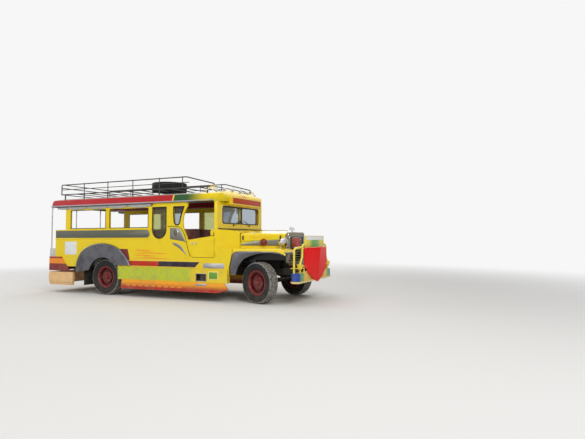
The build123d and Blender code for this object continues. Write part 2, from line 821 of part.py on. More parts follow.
def roof_body(inset):
    """Solid of the roof, or of the hollow under it when inset is the skin's thickness."""
    low = cant_height if inset == 0 else cant_height - 50
    with BuildPart() as solid:
        with BuildSketch(Plane.XY.offset(low)) as plan:
            with BuildLine():
                half = gutter_half_width - inset
                front = roof_front_x - inset
                rear = roof_rear_x + inset
                corner = roof_corner - inset
                Polyline(
                    (front - corner, -half),
                    (rear + roof_rear_corner, -half),
                )
                ThreePointArc(
                    (rear + roof_rear_corner, -half),
                    (rear + roof_rear_corner * 0.2929, -half + roof_rear_corner * 0.2929),
                    (rear, -half + roof_rear_corner),
                )
                Line((rear, -half + roof_rear_corner), (rear, half - roof_rear_corner))
                ThreePointArc(
                    (rear, half - roof_rear_corner),
                    (rear + roof_rear_corner * 0.2929, half - roof_rear_corner * 0.2929),
                    (rear + roof_rear_corner, half),
                )
                Line((rear + roof_rear_corner, half), (front - corner, half))
                ThreePointArc(
                    (front - corner, half),
                    (front - corner * 0.2929, half - corner * 0.2929),
                    (front, half - corner),
                )
                Line((front, half - corner), (front, -half + corner))
                ThreePointArc(
                    (front, -half + corner),
                    (front - corner * 0.2929, -half + corner * 0.2929),
                    (front - corner, -half),
                )
            make_face()
        extrude(amount=roof_crown_height + 60 - low)
        with BuildSketch(Plane.YZ.offset(roof_rear_x - 10)) as section:
            with BuildLine():
                half = gutter_half_width - inset
                edge = roof_edge_half_width - inset
                shoulder = [(edge, roof_edge_height - inset), (half, cant_height - 20), (half, low)]
                if inset == 0:
                    lip_top = cant_height + gutter_height
                    shoulder[1:2] = [(half - gutter_depth, lip_top), (half, lip_top)]
                Polyline(*[(-y, z) for y, z in shoulder], *reversed(shoulder))
                ThreePointArc(
                    (edge, roof_edge_height - inset),
                    (0, roof_crown_height - inset),
                    (-edge, roof_edge_height - inset),
                )
            make_face()
        extrude(amount=roof_front_x - roof_rear_x + 20, mode=Mode.INTERSECT)
        with BuildSketch(across(gutter_half_width + 10)) as profile:
            with BuildLine():
                top = roof_crown_height - inset
                front = roof_front_x - inset
                rear = roof_rear_x + inset
                Polyline((rear, roof_edge_height - 80), (rear, low), (front, low), (front, cant_height + 78 - inset))
                ThreePointArc(
                    (front, cant_height + 78 - inset), (front - 110, top - 60), (front - 330, top)
                )
                Line((front - 330, top), (rear + 220, top))
                ThreePointArc(
                    (rear + 220, top), (rear + 70, top - 60), (rear, roof_edge_height - 80)
                )
            make_face()
        extrude(amount=2 * gutter_half_width + 20, mode=Mode.INTERSECT)
    return solid


with BuildPart() as roof:
    add(roof_body(0).part)
    add(roof_body(roof_skin).part, mode=Mode.SUBTRACT)
save(roof, "roof")

# Rolled rain curtains under the gutter, sagging between their ties
curtain_out = gutter_half_width - 5
curtain_top = cant_height - seat_gap
curtain_ties = [2480, 3130, 3695, 4300, 4890, 5190]
with BuildPart() as rain_curtains:
    with BuildSketch(across(curtain_out)) as rolled:
        with BuildLine():
            Polyline(
                (front_axle_x - curtain_ties[0], curtain_top - 45),
                (front_axle_x - curtain_ties[0], curtain_top),
                (front_axle_x - curtain_ties[-1], curtain_top),
                (front_axle_x - curtain_ties[-1], curtain_top - 45),
            )
            for ahead, behind in zip(curtain_ties, curtain_ties[1:]):
                ThreePointArc(
                    (front_axle_x - ahead, curtain_top - 45),
                    (front_axle_x - (ahead + behind) / 2, curtain_top - 82),
                    (front_axle_x - behind, curtain_top - 45),
                )
        make_face()
    extrude(amount=curtain_out - body_half_width - seat_gap)
    mirror(about=Plane.XZ)
save(rain_curtains, "rain_curtains")

# Destination board over the windscreen
board_half = 640
with BuildPart() as destination_board:
    with BuildSketch(across(board_half)) as board_side:
        with BuildLine():
            Polyline(
                (screen_x, cant_height - 40),
                (roof_front_x + 42, cant_height - 54),
                (roof_front_x + 46, cant_height - 40),
                (roof_front_x + 24, cant_height + 106),
                (roof_front_x + seat_gap, cant_height + 106),
                (roof_front_x + seat_gap, cant_height - 2),
                (screen_x, cant_height - 12),
                close=True,
            )
        make_face()
    extrude(amount=2 * board_half)
save(destination_board, "destination_board")

# Roof rack of round tube: hoops and rails, posts and feet, and slats that carry the spare tyre
rack_half = 740
rack_rear_x = front_axle_x - 5330
rack_slope_x = front_axle_x - 1750
rack_front_x = front_axle_x - 1080
rack_floor = roof_crown_height + 47
rack_top = rack_floor + 228
rack_mid = rack_floor + 116
rack_nose = rack_floor + 56
rail_radius = 12
mid_rail_radius = 8
post_radius = 9
slat_radius = 10
foot_radius = 14
rail_seat = rail_radius + seat_gap  # from a rail's axis to the flat end of a tube that meets it
rack_post_offsets = [1850, 2450, 3170, 3890, 4610]
rack_foot_offsets = [1240, 2450, 3170, 3890, 4610, 5210]
rack_slat_offsets = [1080, 1450, 1830, 2210, 2590, 2970, 3350, 3730, 4110, 4490, 4870, 5330]
with BuildPart() as roof_rack:
    for side in (-1, 1):
        y = side * rack_half
        tube_run(
            [
                (rack_rear_x, y, rack_floor + rail_seat),
                (rack_rear_x, y, rack_top),
                (rack_slope_x, y, rack_top),
                (rack_front_x, y, rack_nose),
                (rack_front_x, y, rack_floor + rail_seat),
            ],
            rail_radius,
            bend=30,
        )
        bar((rack_rear_x - rail_radius, y, rack_floor), (rack_front_x + rail_radius, y, rack_floor), rail_radius)
        mid_y = side * (rack_half - post_radius - mid_rail_radius - seat_gap)
        bar((rack_rear_x, mid_y, rack_mid), (front_axle_x - 1700, mid_y, rack_mid), mid_rail_radius)
save(roof_rack, "roof_rack")

with BuildPart() as rack_posts:
    for side in (-1, 1):
        y = side * rack_half
        for place in rack_post_offsets:
            post_x = front_axle_x - place
            bar((post_x, y, rack_floor + rail_seat), (post_x, y, rack_top - rail_seat), post_radius)
        for place in rack_foot_offsets:
            foot_x = front_axle_x - place
            bar((foot_x, y, roof_edge_height), (foot_x, y, rack_floor - rail_seat), foot_radius)
    add(roof_body(0).part, mode=Mode.SUBTRACT)
save(rack_posts, "rack_posts")

with BuildPart() as rack_slats:
    reach = rack_half - rail_seat
    for place in rack_slat_offsets:
        slat_x = front_axle_x - place
        bar((slat_x, -reach, rack_floor), (slat_x, reach, rack_floor), slat_radius)
    bar((rack_rear_x + 60, -reach, rack_top), (rack_rear_x + 60, reach, rack_top), slat_radius)
    bar((rack_rear_x, -reach, rack_mid + 40), (rack_rear_x, reach, rack_mid + 40), slat_radius)
save(rack_slats, "rack_slats")

# Spare tyre lying on the rack
spare_x = front_axle_x - 2770
with BuildPart() as spare_tyre:
    spare_plane = Plane(
        origin=(spare_x, 0, rack_floor + slat_radius + tyre_width / 2 + seat_gap), x_dir=(1, 0, 0), z_dir=(0, 0, 1)
    )
    add(tyre(spare_plane).part)
save(spare_tyre, "spare_tyre")

# Bonnet: top and side flanges, hinged at the cowl
bonnet_rear_x = cowl_front_x + panel_gap
bonnet_front_x = nose_x - 45 - panel_gap
bonnet_rear_half = 600
bonnet_front_half = 420
bonnet_rear_top = 1362
bonnet_front_top = 1350
bonnet_skirt_rear = 1165
bonnet_skirt_front = 1212
bonnet_wall = 14
bonnet_edge = 60


def bonnet_shell(inset):
    """Loft of the bonnet, or of the space under it."""
    with BuildPart() as solid:
        for station, half, top in (
            (bonnet_rear_x - inset, bonnet_rear_half, bonnet_rear_top),
            (bonnet_front_x + inset, bonnet_front_half, bonnet_front_top),
        ):
            with BuildSketch(Plane.YZ.offset(station)):
                with BuildLine():
                    half_in = half - inset
                    crown = top - inset
                    edge_top = crown - 34
                    Polyline((-half_in, edge_top - bonnet_edge), (-half_in, 1000), (half_in, 1000), (half_in, edge_top - bonnet_edge))
                    ThreePointArc(
                        (half_in, edge_top - bonnet_edge),
                        (half_in - bonnet_edge * 0.25, edge_top - bonnet_edge * 0.2),
                        (half_in - bonnet_edge, edge_top),
                    )
                    ThreePointArc((half_in - bonnet_edge, edge_top), (0, crown), (-half_in + bonnet_edge, edge_top))
                    ThreePointArc(
                        (-half_in + bonnet_edge, edge_top),
                        (-half_in + bonnet_edge * 0.25, edge_top - bonnet_edge * 0.2),
                        (-half_in, edge_top - bonnet_edge),
                    )
                make_face()
        loft()
    return solid


def below_bonnet(margin, floor_z=800):
    """Prism under the bonnet's lower edge, lowered by a margin."""
    with BuildPart() as prism:
        with BuildSketch(across(800)):
            with BuildLine():
                Polyline(
                    (bonnet_rear_x - 50, floor_z),
                    (bonnet_rear_x - 50, bonnet_skirt_rear - margin),
                    (bonnet_rear_x, bonnet_skirt_rear - margin),
                    (bonnet_front_x, bonnet_skirt_front - margin),
                    (bonnet_front_x + 80, bonnet_skirt_front - margin),
                    (bonnet_front_x + 80, floor_z),
                    close=True,
                )
            make_face()
        extrude(amount=1600)
    return prism


with BuildPart() as bonnet:
    add(bonnet_shell(0).part)
    for hinge_y in bonnet_hinge_ys:
        ends = [
            (bonnet_hinge_x, hinge_y - knuckle_half, bonnet_hinge_z),
            (bonnet_hinge_x, hinge_y + knuckle_half, bonnet_hinge_z),
        ]
        block(
            (bonnet_hinge_x, bonnet_rear_x + 70),
            (hinge_y - knuckle_half, hinge_y + knuckle_half),
            (bonnet_rear_top - 18, bonnet_hinge_z - 2),
        )
        bar(*ends, hinge_radius)
        block(
            (bonnet_hinge_x - 20, bonnet_rear_x - 1),
            (hinge_y - 2 * knuckle_half, hinge_y + 2 * knuckle_half),
            (1200, bonnet_hinge_z - hinge_radius + 1),
            mode=Mode.SUBTRACT,
        )
        bar(*ends, hinge_pin_radius + running_clearance, mode=Mode.SUBTRACT)
    add(bonnet_shell(bonnet_wall).part, mode=Mode.SUBTRACT)
    add(below_bonnet(0).part, mode=Mode.SUBTRACT)
save(bonnet, "bonnet")

# Grille shell: a tall surround with a centre panel and horizontal bars
grille_half = 412
grille_bottom = 690
grille_top = 1342
grille_depth = 45
with BuildPart() as grille_shell:
    with BuildSketch(Plane.YZ.offset(nose_x - grille_depth)):
        with Locations((0, (grille_bottom + grille_top) / 2)):
            RectangleRounded(2 * grille_half, grille_top - grille_bottom, 70)
        with Locations((0, (grille_bottom + grille_top) / 2 - 10)):
            RectangleRounded(2 * grille_half - 110, grille_top - grille_bottom - 130, 40, mode=Mode.SUBTRACT)
    extrude(amount=grille_depth)
    for bar_index in range(11):
        bar_z = grille_bottom + 70 + bar_index * 47
        bar((nose_x - 24, -grille_half + 40, bar_z), (nose_x - 24, grille_half - 40, bar_z), 10)
    block((nose_x - 36, nose_x - 4), (-190, 190), (1040, 1240))
save(grille_shell, "grille_shell")

# Headlamps in round buckets beside the grille
lamp_y = 535
lamp_z = 1140
lamp_radius = 92
with BuildPart() as headlamps:
    with BuildSketch(Plane(origin=(nose_x - 150, lamp_y, lamp_z), x_dir=(0, 0, 1), z_dir=(0, 1, 0))) as bucket:
        with BuildLine():
            Polyline(
                (0, 0),
                (0, 190),
                (40, 186),
                (lamp_radius - 12, 160),
                (lamp_radius, 160),
                (lamp_radius, 140),
                (lamp_radius - 8, 132),
                (lamp_radius - 14, 80),
                (lamp_radius - 36, 26),
                (28, 0),
                close=True,
            )
        make_face()
    revolve(axis=Axis((nose_x - 150, lamp_y, lamp_z), (1, 0, 0)))
    bar((nose_x - 90, lamp_y, 1030), (nose_x - 90, lamp_y, lamp_z), 16)
    mirror(about=Plane.XZ)
save(headlamps, "headlamps")

# Front fenders: crowned tops, arched skirts and the plates beside the engine
inner_plate_bottom = 800
crown_radius = 32
with BuildPart() as side_plates:
    with BuildSketch(Plane.XY.offset(inner_plate_bottom)):
        with BuildLine():
            Polyline(
                (cowl_front_x, bonnet_rear_half),
                (nose_x - grille_depth, bonnet_front_half),
                (nose_x - grille_depth, bonnet_front_half - 14),
                (cowl_front_x, bonnet_rear_half - 14),
                close=True,
            )
        make_face()
    extrude(amount=700)
    add(below_bonnet(panel_gap, 600).part, mode=Mode.INTERSECT)

with BuildPart() as front_fenders:
    with BuildSketch(across(fender_half)) as outer_side:
        with BuildLine():
            Polyline(
                (cowl_front_x, kick_joint_z),
                (cowl_front_x, fender_top),
                (front_axle_x + 370, fender_top),
            )
            TangentArc((front_axle_x + 370, fender_top), (front_axle_x + 560, 935), tangent=(1, 0))
            Line((front_axle_x + 560, 935), (front_axle_x + 545, 900))
            ThreePointArc(
                (front_axle_x + 545, 900),
                (front_axle_x + 60, 945),
                (front_axle_x - 300, 840),
            )
            ThreePointArc(
                (front_axle_x - 300, 840),
                (front_axle_x - 430, 690),
                (front_axle_x - 485, 530),
            )
            Line((front_axle_x - 485, 530), (kick_low_x, 530))
            Line((kick_low_x, 530), (kick_low_x, skirt_low_z))
            Line((kick_low_x, skirt_low_z), (cowl_front_x, kick_joint_z))
        make_face()
    extrude(amount=fender_lip)
    outer_edges = front_fenders.edges().filter_by_position(Axis.Y, fender_half - 0.1, fender_half + 0.1)
    fillet([e for e in outer_edges if e.center().Z > 990 and e.center().X > cowl_front_x + 1], crown_radius)
    with BuildSketch(across(fender_half - crown_radius)) as top_plate:
        with BuildLine():
            Polyline(
                (cowl_front_x, fender_top - fender_wall),
                (cowl_front_x, fender_top),
                (front_axle_x + 370, fender_top),
            )
            TangentArc((front_axle_x + 370, fender_top), (front_axle_x + 560, 935), tangent=(1, 0))
            Line((front_axle_x + 560, 935), (front_axle_x + 549, 926))
            ThreePointArc(
                (front_axle_x + 549, 926),
                (front_axle_x + 465, 992),
                (front_axle_x + 370, fender_top - fender_wall),
            )
            Line((front_axle_x + 370, fender_top - fender_wall), (cowl_front_x, fender_top - fender_wall))
        make_face()
    extrude(amount=fender_half - crown_radius - grille_half - seat_gap)
    add(side_plates.part)
    mirror(about=Plane.XZ)
save(front_fenders, "front_fenders")

# Round marker lamps on the plates beside the engine
marker_share = 0.52  # along the plate, from the cowl to the grille
marker_radius = 58
marker_length = 46
marker_z = 1145
plate_run = Vector(nose_x - grille_depth, bonnet_front_half, 0) - Vector(cowl_front_x, bonnet_rear_half, 0)
marker_foot = Vector(cowl_front_x, bonnet_rear_half, marker_z) + plate_run * marker_share
marker_out = Vector(-plate_run.Y, plate_run.X, 0).normalized()
with BuildPart() as side_lamps:
    with Locations(Plane(origin=marker_foot + marker_out * seat_gap, z_dir=marker_out).location):
        Cylinder(marker_radius, marker_length, align=(Align.CENTER, Align.CENTER, Align.MIN))
    fillet(side_lamps.faces().sort_by(Axis.Y)[-1].edges(), 10)
    mirror(about=Plane.XZ)
save(side_lamps, "side_lamps")

# Chrome ornament on the bonnet's nose
ornament_x = bonnet_front_x - 40
ornament_base = bonnet_front_top + 1.6
with BuildPart() as bonnet_ornament:
    bar((ornament_x, 0, ornament_base), (ornament_x, 0, bonnet_front_top + 36), 16)
    with BuildSketch(across(12)) as fin:
        with BuildLine():
            Line((ornament_x - 70, bonnet_front_top + 36), (ornament_x + 60, bonnet_front_top + 36))
            ThreePointArc(
                (ornament_x + 60, bonnet_front_top + 36),
                (ornament_x + 30, bonnet_front_top + 84),
                (ornament_x - 40, bonnet_front_top + 110),
            )
            Line((ornament_x - 40, bonnet_front_top + 110), (ornament_x - 70, bonnet_front_top + 36))
        make_face()
    extrude(amount=24)
save(bonnet_ornament, "bonnet_ornament")

# Front bumper: a deep box with rounded corners and a lip along the bottom
bumper_back_x = front_axle_x + 640
bumper_front_x = front_axle_x + 800
bumper_half = 890
bumper_bottom = 405
bumper_top = 585
bumper_corner = 70
with BuildPart() as front_bumper:
    with BuildSketch(Plane.XY.offset(bumper_bottom)):
        with Locations(((bumper_back_x + bumper_front_x) / 2, 0)):
            RectangleRounded(bumper_front_x - bumper_back_x, 2 * bumper_half, bumper_corner)
    extrude(amount=bumper_top - bumper_bottom)
    with BuildSketch(Plane.XY.offset(bumper_bottom)):
        with Locations(((bumper_back_x + bumper_front_x) / 2 + 6, 0)):
            RectangleRounded(bumper_front_x - bumper_back_x + 12, 2 * bumper_half + 24, bumper_corner)
    extrude(amount=24)
save(front_bumper, "front_bumper")

# Tubular front guard with a bare board across its top
guard_x = front_axle_x + 770
guard_tube = 19
guard_cross_radius = 15
guard_top = 1075
guard_board_half = 490
guard_board = (1052, 1266)
guard_board_wall = 22
guard_foot_y = 745
lower_cross_z = bumper_top + 118
upper_cross_z = guard_top - 45
bracket_radius = 8
corner_post_x = bumper_back_x + 60
corner_post_y = 850

# Prow shield: a sheet folded along an upright crease, drawn to a point at the bottom
shield_wall = 10
shield_half = 605
shield_top = guard_board[0] - 4
shield_tip = 385
shield_side_top = guard_x + guard_cross_radius + seat_gap
shield_side_low = bumper_front_x + 10
shield_crease_top = front_axle_x + front_overhang
shield_crease_low = bumper_front_x + 35


def shield_plan(z, crease_x, side_x):
    """Folded plan section of the shield at one height."""
    with BuildSketch(Plane.XY.offset(z)) as folded:
        with BuildLine():
            Polyline(
                (side_x, -shield_half),
                (crease_x - shield_wall, 0),
                (side_x, shield_half),
                (side_x + shield_wall, shield_half),
                (crease_x, 0),
                (side_x + shield_wall, -shield_half),
                close=True,
            )
        make_face()
    return folded


def shield_back(y, z):
    """Where the shield's back lies at a distance from the crease and a height."""
    rise = (z - shield_tip) / (shield_top - shield_tip)
    side = shield_side_low + rise * (shield_side_top - shield_side_low)
    crease = shield_crease_low + rise * (shield_crease_top - shield_crease_low) - shield_wall
    return crease + (side - crease) * y / shield_half


with BuildPart() as prow_shield:
    plans = [
        shield_plan(shield_tip, shield_crease_low, shield_side_low).sketch,
        shield_plan(shield_top, shield_crease_top, shield_side_top).sketch,
    ]
    loft(plans, ruled=True)
    with BuildSketch(Plane.YZ.offset(shield_side_top - 20)) as outline:
        with BuildLine():
            half_outline = [
                (shield_half - 10, shield_top),
                (shield_half, 900),
                (shield_half - 8, 700),
                (440, 572),
                (245, 468),
                (45, shield_tip),
            ]
            Polyline(*half_outline, *[(-y, z) for y, z in reversed(half_outline)], close=True)
        make_face()
    extrude(amount=300, mode=Mode.INTERSECT)
save(prow_shield, "prow_shield")

with BuildPart() as front_guard:
    # Corner posts, swept inward at the top to meet the main hoops
    tube_run(
        [
            (corner_post_x, corner_post_y, bumper_top),
            (corner_post_x, corner_post_y, guard_top - 40),
            (guard_x, 640, guard_top - 20),
        ],
        guard_tube,
    )
    # Main hoops carry the board
    tube_run(
        [
            (guard_x, guard_foot_y, bumper_top),
            (guard_x, guard_foot_y, bumper_top + 150),
            (guard_x, 640, bumper_top + 280),
            (guard_x, 622, guard_top + 25),
            (guard_x, guard_board_half - 40, guard_top + 25),
        ],
        guard_tube,
    )
    with Locations((guard_x, guard_foot_y, bumper_top + 105)):
        Cone(30, 58, 90)
    for tube_y in (360, 545):
        bar((guard_x, tube_y, bumper_top), (guard_x, tube_y, bumper_top + 128), 13)
    bar((guard_x, 0, lower_cross_z), (guard_x, guard_foot_y, lower_cross_z), guard_cross_radius)
    bar((guard_x, 0, upper_cross_z), (guard_x, 634, upper_cross_z), guard_cross_radius)
    block((guard_x - 14, guard_x + guard_board_wall - 14), (0, guard_board_half), guard_board)
    for y, z in ((0, upper_cross_z), (shield_half - 45, upper_cross_z), (shield_half - 45, lower_cross_z)):
        bar((guard_x, y, z), (shield_back(y + bracket_radius, z) - seat_gap, y, z), bracket_radius)
    mirror(about=Plane.XZ)
save(front_guard, "front_guard")

# Rear fender flares
flare_out = 38
with BuildPart() as rear_fenders:
    with BuildSketch(across(body_half_width + flare_out)) as flare:
        with BuildLine():
            ThreePointArc(
                (rear_axle_x - 810, 480), (rear_axle_x - 755, 810), (rear_axle_x - 490, 1040)
            )
            ThreePointArc(
                (rear_axle_x - 490, 1040), (rear_axle_x - 60, 1125), (rear_axle_x + 370, 1040)
            )
            ThreePointArc(
                (rear_axle_x + 370, 1040), (rear_axle_x + 620, 860), (rear_axle_x + 760, 665)
            )
            Line((rear_axle_x + 760, 665), (rear_axle_x + 340, 655))
            ThreePointArc(
                (rear_axle_x + 340, 655), (rear_axle_x, tyre_radius + wheel_arch_radius - 2), (rear_axle_x - 405, 535)
            )
            Line((rear_axle_x - 405, 535), (rear_axle_x - 810, 480))
        make_face()
    extrude(amount=flare_out)
    outer = body_half_width + flare_out
    wheel_middle = Vector(rear_axle_x, outer, tyre_radius)
    crown = [
        edge
        for edge in rear_fenders.edges().filter_by_position(Axis.Y, outer - 0.1, outer + 0.1)
        if (edge.center() - wheel_middle).length > wheel_arch_radius + 250
    ]
    fillet(crown, flare_out - 10)
    mirror(about=Plane.XZ)
save(rear_fenders, "rear_fenders")

# Side steps with upright ribs and a foothold under each cab door
step_rear_x = front_axle_x - 3360
step_front_x = kick_low_x - 4
step_out = 950
step_in = 850
step_bottom = 365
step_top = 640
rib_pitch = 62
rib_front_x = front_axle_x - 1420
foothold = (front_axle_x - 1350, front_axle_x - 1120)
with BuildPart() as side_steps:
    with BuildSketch(Plane.YZ.offset(step_rear_x)) as step_section:
        with BuildLine():
            Polyline(
                (step_in, step_bottom),
                (step_out, step_bottom),
                (step_out, step_top - 12),
                (step_out - 12, step_top),
                (body_half_width, step_top),
                (body_half_width, body_bottom),
                (step_in, body_bottom),
                close=True,
            )
        make_face()
    extrude(amount=step_front_x - step_rear_x)
    block(foothold, (step_in + 20, step_out + 10), (step_bottom + 30, 530), mode=Mode.SUBTRACT)
    for rib in range(int((rib_front_x - step_rear_x) / rib_pitch) + 1):
        rib_x = step_rear_x + 12 + rib * rib_pitch
        bar((rib_x, step_out, step_bottom + 14), (rib_x, step_out, step_top - 30), 10)
    mirror(about=Plane.XZ)
save(side_steps, "side_steps")

# Skirts below the steps
skirt_bottom = 172
skirt_rear_x = front_axle_x - 3245
skirt_front_x = front_axle_x - 860
with BuildPart() as side_skirts:
    with BuildSketch(across(step_out)) as skirt_side:
        with BuildLine():
            Polyline(
                (skirt_rear_x, step_bottom),
                (skirt_rear_x - 30, skirt_bottom),
                (skirt_front_x, skirt_bottom),
                (skirt_front_x + 240, skirt_bottom + 70),
                (skirt_front_x + 150, step_bottom),
                close=True,
            )
        make_face()
    extrude(amount=26)
    with BuildSketch(Plane.YZ.offset(skirt_rear_x - 30)) as lip:
        with Locations((step_out - 13, skirt_bottom + 14)):
            RectangleRounded(40, 28, 10)
    extrude(amount=skirt_front_x - skirt_rear_x + 30)
    mirror(about=Plane.XZ)
save(side_skirts, "side_skirts")

# Rear step bumper, wrapped round the corners, with a tread plate across the back
rear_bumper_half = 925
rear_bumper_front_x = rear_end_x + 830
rear_bumper_wall = 60
rear_bumper_low = 240
rear_bumper_corner = 110
rear_band_depth = 65  # thin band below the bumper
rear_band_inset = 20


def wrapped_plan(z, inset):
    """U-shaped plan of the rear bumper at height z, its outer face drawn in by inset."""
    half = rear_bumper_half - inset
    rear = rear_end_x + inset
    wall = rear_bumper_wall - inset
    corner = rear_bumper_corner - inset
    bulge = corner * (1 - sin(radians(45)))
    with BuildSketch(Plane.XY.offset(z)) as plan:
        with BuildLine():
            Line((rear, -half + corner), (rear, half - corner))
            for end in (1, -1):
                ThreePointArc(
                    (rear, end * (half - corner)),
                    (rear + bulge, end * (half - bulge)),
                    (rear + corner, end * half),
                )
                Polyline(
                    (rear + corner, end * half),
                    (rear_bumper_front_x - inset, end * half),
                    (rear_bumper_front_x - inset, end * (half - wall)),
                    (rear + wall, end * (half - wall)),
                )
            Line((rear + wall, wall - half), (rear + wall, half - wall))
        make_face()
    return plan


with BuildPart() as rear_bumper:
    extrude(wrapped_plan(rear_bumper_low, 0).sketch, amount=230)
    extrude(wrapped_plan(rear_bumper_low - rear_band_depth, rear_band_inset).sketch, amount=rear_band_depth)
    block((rear_end_x + 20, body_rear_x + 40), (-880, 880), (440, 470))
    for side in (-1, 1):
        inner = sorted((side * rail_inner, side * rail_outer))
        block((rail_rear_x, rail_rear_x + 300), inner, (440, frame_bottom))
        arm = sorted((side * rail_inner, side * 880))
        block((rail_rear_x + 200, rail_rear_x + 300), arm, (440, 470))
save(rear_bumper, "rear_bumper")

# Stacked valance above the rear bumper
with BuildPart() as rear_valance:
    with BuildSketch(across(body_half_width + 16)) as valance_side:
        with BuildLine():
            Polyline(
                (rear_end_x + 90, 500),
                (rear_end_x + 760, 500),
                (rear_end_x + 560, 700),
                (rear_end_x + 480, 815),
                (rear_end_x + 90, 815),
                close=True,
            )
        make_face()
    extrude(amount=16)
    block((rear_end_x + 90, body_rear_x), (doorway_half + 40, body_half_width), (500, 815))
    mirror(about=Plane.XZ)
save(rear_valance, "rear_valance")

# Tail lamp pods on the rear corners
with BuildPart() as tail_lamps:
    with BuildSketch(Plane.XY.offset(815)) as pod:
        with Locations((rear_end_x + 160, 850)):
            RectangleRounded(200, 150, 50)
    extrude(amount=190)
    mirror(about=Plane.XZ)
save(tail_lamps, "tail_lamps")

# Mud flaps hang from the wheel arch behind the rear wheels
with BuildPart() as mud_flaps:
    block((rear_axle_x - 600, rear_axle_x - 588), (600, 905), (190, body_bottom))
    mirror(about=Plane.XZ)
save(mud_flaps, "mud_flaps")

# Cab doors: half doors hung on pins at their front edge
def door(side):
    """Half door for the right (-1) or left (+1) side."""
    plane = across(body_half_width) if side > 0 else across(-body_half_width + body_wall)
    front = door_hinge_x - door_front_gap
    with BuildPart() as leaf:
        with BuildSketch(plane) as outline:
            with BuildLine():
                rear_edge = ThreePointArc(
                    (front_axle_x - 1578 + panel_gap, door_top_rear),
                    (front_axle_x - 1530 + panel_gap, 1030),
                    (front_axle_x - 1478 + panel_gap, door_sill_height + panel_gap),
                )
                Polyline(
                    rear_edge @ 1,
                    (front, door_sill_height + panel_gap),
                    (front, door_top_front),
                    rear_edge @ 0,
                )
            make_face()
        extrude(amount=body_wall)
        for height in door_hinge_heights:
            pivot_y = side * door_hinge_y
            strap_y = sorted((side * (body_half_width - 2), side * (door_hinge_y - 5)))
            low, high = height - knuckle_half, height + knuckle_half
            block((door_hinge_x - 130, door_hinge_x), strap_y, (low, high))
            bar((door_hinge_x, pivot_y, low), (door_hinge_x, pivot_y, high), hinge_radius)
            bar(
                (door_hinge_x, pivot_y, low),
                (door_hinge_x, pivot_y, high),
                hinge_pin_radius + running_clearance,
                mode=Mode.SUBTRACT,
            )
    return leaf


door_right = door(-1)
save(door_right, "door_right")
door_left = door(1)
save(door_left, "door_left")

# Seats: plywood boxes and cushions along both sides, and a bench across the cab
bench_top = 1010
cushion_depth = 75
bench_front_y = 470
bench_rear_x = body_rear_x + 120
bench_front_x = front_axle_x - 2200
cab_seat_x = (front_axle_x - 1990, front_axle_x - 1560)
with BuildPart() as seat_frames:
    block((bench_rear_x, bench_front_x), (bench_front_y, bench_front_y + 18), (floor_top, bench_top))
    block((bench_rear_x, bench_front_x), (bench_front_y, body_inside), (bench_top - 18, bench_top))
    block(cab_seat_x, (60, 840), (floor_top, bench_top - 60))
    block((cab_seat_x[0] - 18, cab_seat_x[0]), (60, 840), (floor_top, 1420))
    mirror(about=Plane.XZ)
save(seat_frames, "seat_frames")

with BuildPart() as seat_cushions:
    block((bench_rear_x, bench_front_x), (bench_front_y, body_inside - 70), (bench_top, bench_top + cushion_depth))
    block((bench_rear_x + 60, bench_front_x - 40), (body_inside - 62, body_inside), (bench_top, 1405))
    block((cab_seat_x[0] + 92, cab_seat_x[1] + 15), (60, 840), (bench_top - 60, bench_top + 45))
    block((cab_seat_x[0], cab_seat_x[0] + 90), (60, 840), (bench_top - 60, 1420))
    mirror(about=Plane.XZ)
save(seat_cushions, "seat_cushions")

# Steering column and wheel, on the left
wheel_centre = (front_axle_x - 1330, 430, 1265)
column_foot = (kick_low_x - 14, 430, 905)
wheel_rim_radius = 205
with BuildPart() as steering_column:
    run = Vector(*wheel_centre) - Vector(*column_foot)
    column_end = Vector(*column_foot) + run.normalized() * (run.length - 30)
    bar(column_foot, column_end, 24)
    bar(column_foot, Vector(*column_foot) + run.normalized() * (run.length + 12), 10)
    block((kick_low_x - 30, kick_low_x), (380, 480), (845, 965))
save(steering_column, "steering_column")

with BuildPart() as steering_wheel:
    hub_plane = Plane(origin=wheel_centre, z_dir=run)
    with BuildSketch(Plane(origin=wheel_centre, x_dir=hub_plane.x_dir, z_dir=hub_plane.y_dir)):
        with Locations((wheel_rim_radius, 0)):
            RegularPolygon(13, 8)
    revolve(axis=Axis(wheel_centre, hub_plane.z_dir))
    with Locations(hub_plane.location):
        Cylinder(38, 36)
        with PolarLocations(0, 3):
            with Locations((wheel_rim_radius / 2, 0, 0)):
                Box(wheel_rim_radius, 22, 12)
        Cylinder(10 + running_clearance, 60, mode=Mode.SUBTRACT)
save(steering_wheel, "steering_wheel")

# Chrome grab rails: upright at the rear corners and doorway, and two along the ceiling
with BuildPart() as grab_rails:
    tube_run(
        [
            (rear_end_x + 90, 880, 1005),
            (rear_end_x + 90, 880, 1930),
            (roof_rear_x + 70, 880, cant_height + 60),
        ],
        14,
    )
    bar((body_rear_x + 20, doorway_half + 30, sill_height), (body_rear_x + 20, doorway_half + 30, 2165), 14)
    bar((body_rear_x + 60, 330, 2060), (front_axle_x - 1800, 330, 2060), 12)
    for hanger in (5000, 4000, 3000, 1950):
        bar((front_axle_x - hanger, 330, 2060), (front_axle_x - hanger, 330, 2185), 9)
    add(roof.part, mode=Mode.SUBTRACT)
    mirror(about=Plane.XZ)
save(grab_rails, "grab_rails")
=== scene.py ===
"""Looks of a long passenger jeepney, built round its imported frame.

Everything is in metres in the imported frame: +X is forward, +Y is the vehicle's left and +Z is up.
Each sub-assembly is a class that holds its own sizes, builds its meshes and dresses them.
"""

from __future__ import annotations

import json
import logging
import math
import random
from dataclasses import dataclass
from enum import Enum
from typing import Callable, Iterable, Sequence

import bmesh
import bpy
from mathutils import Matrix, Vector

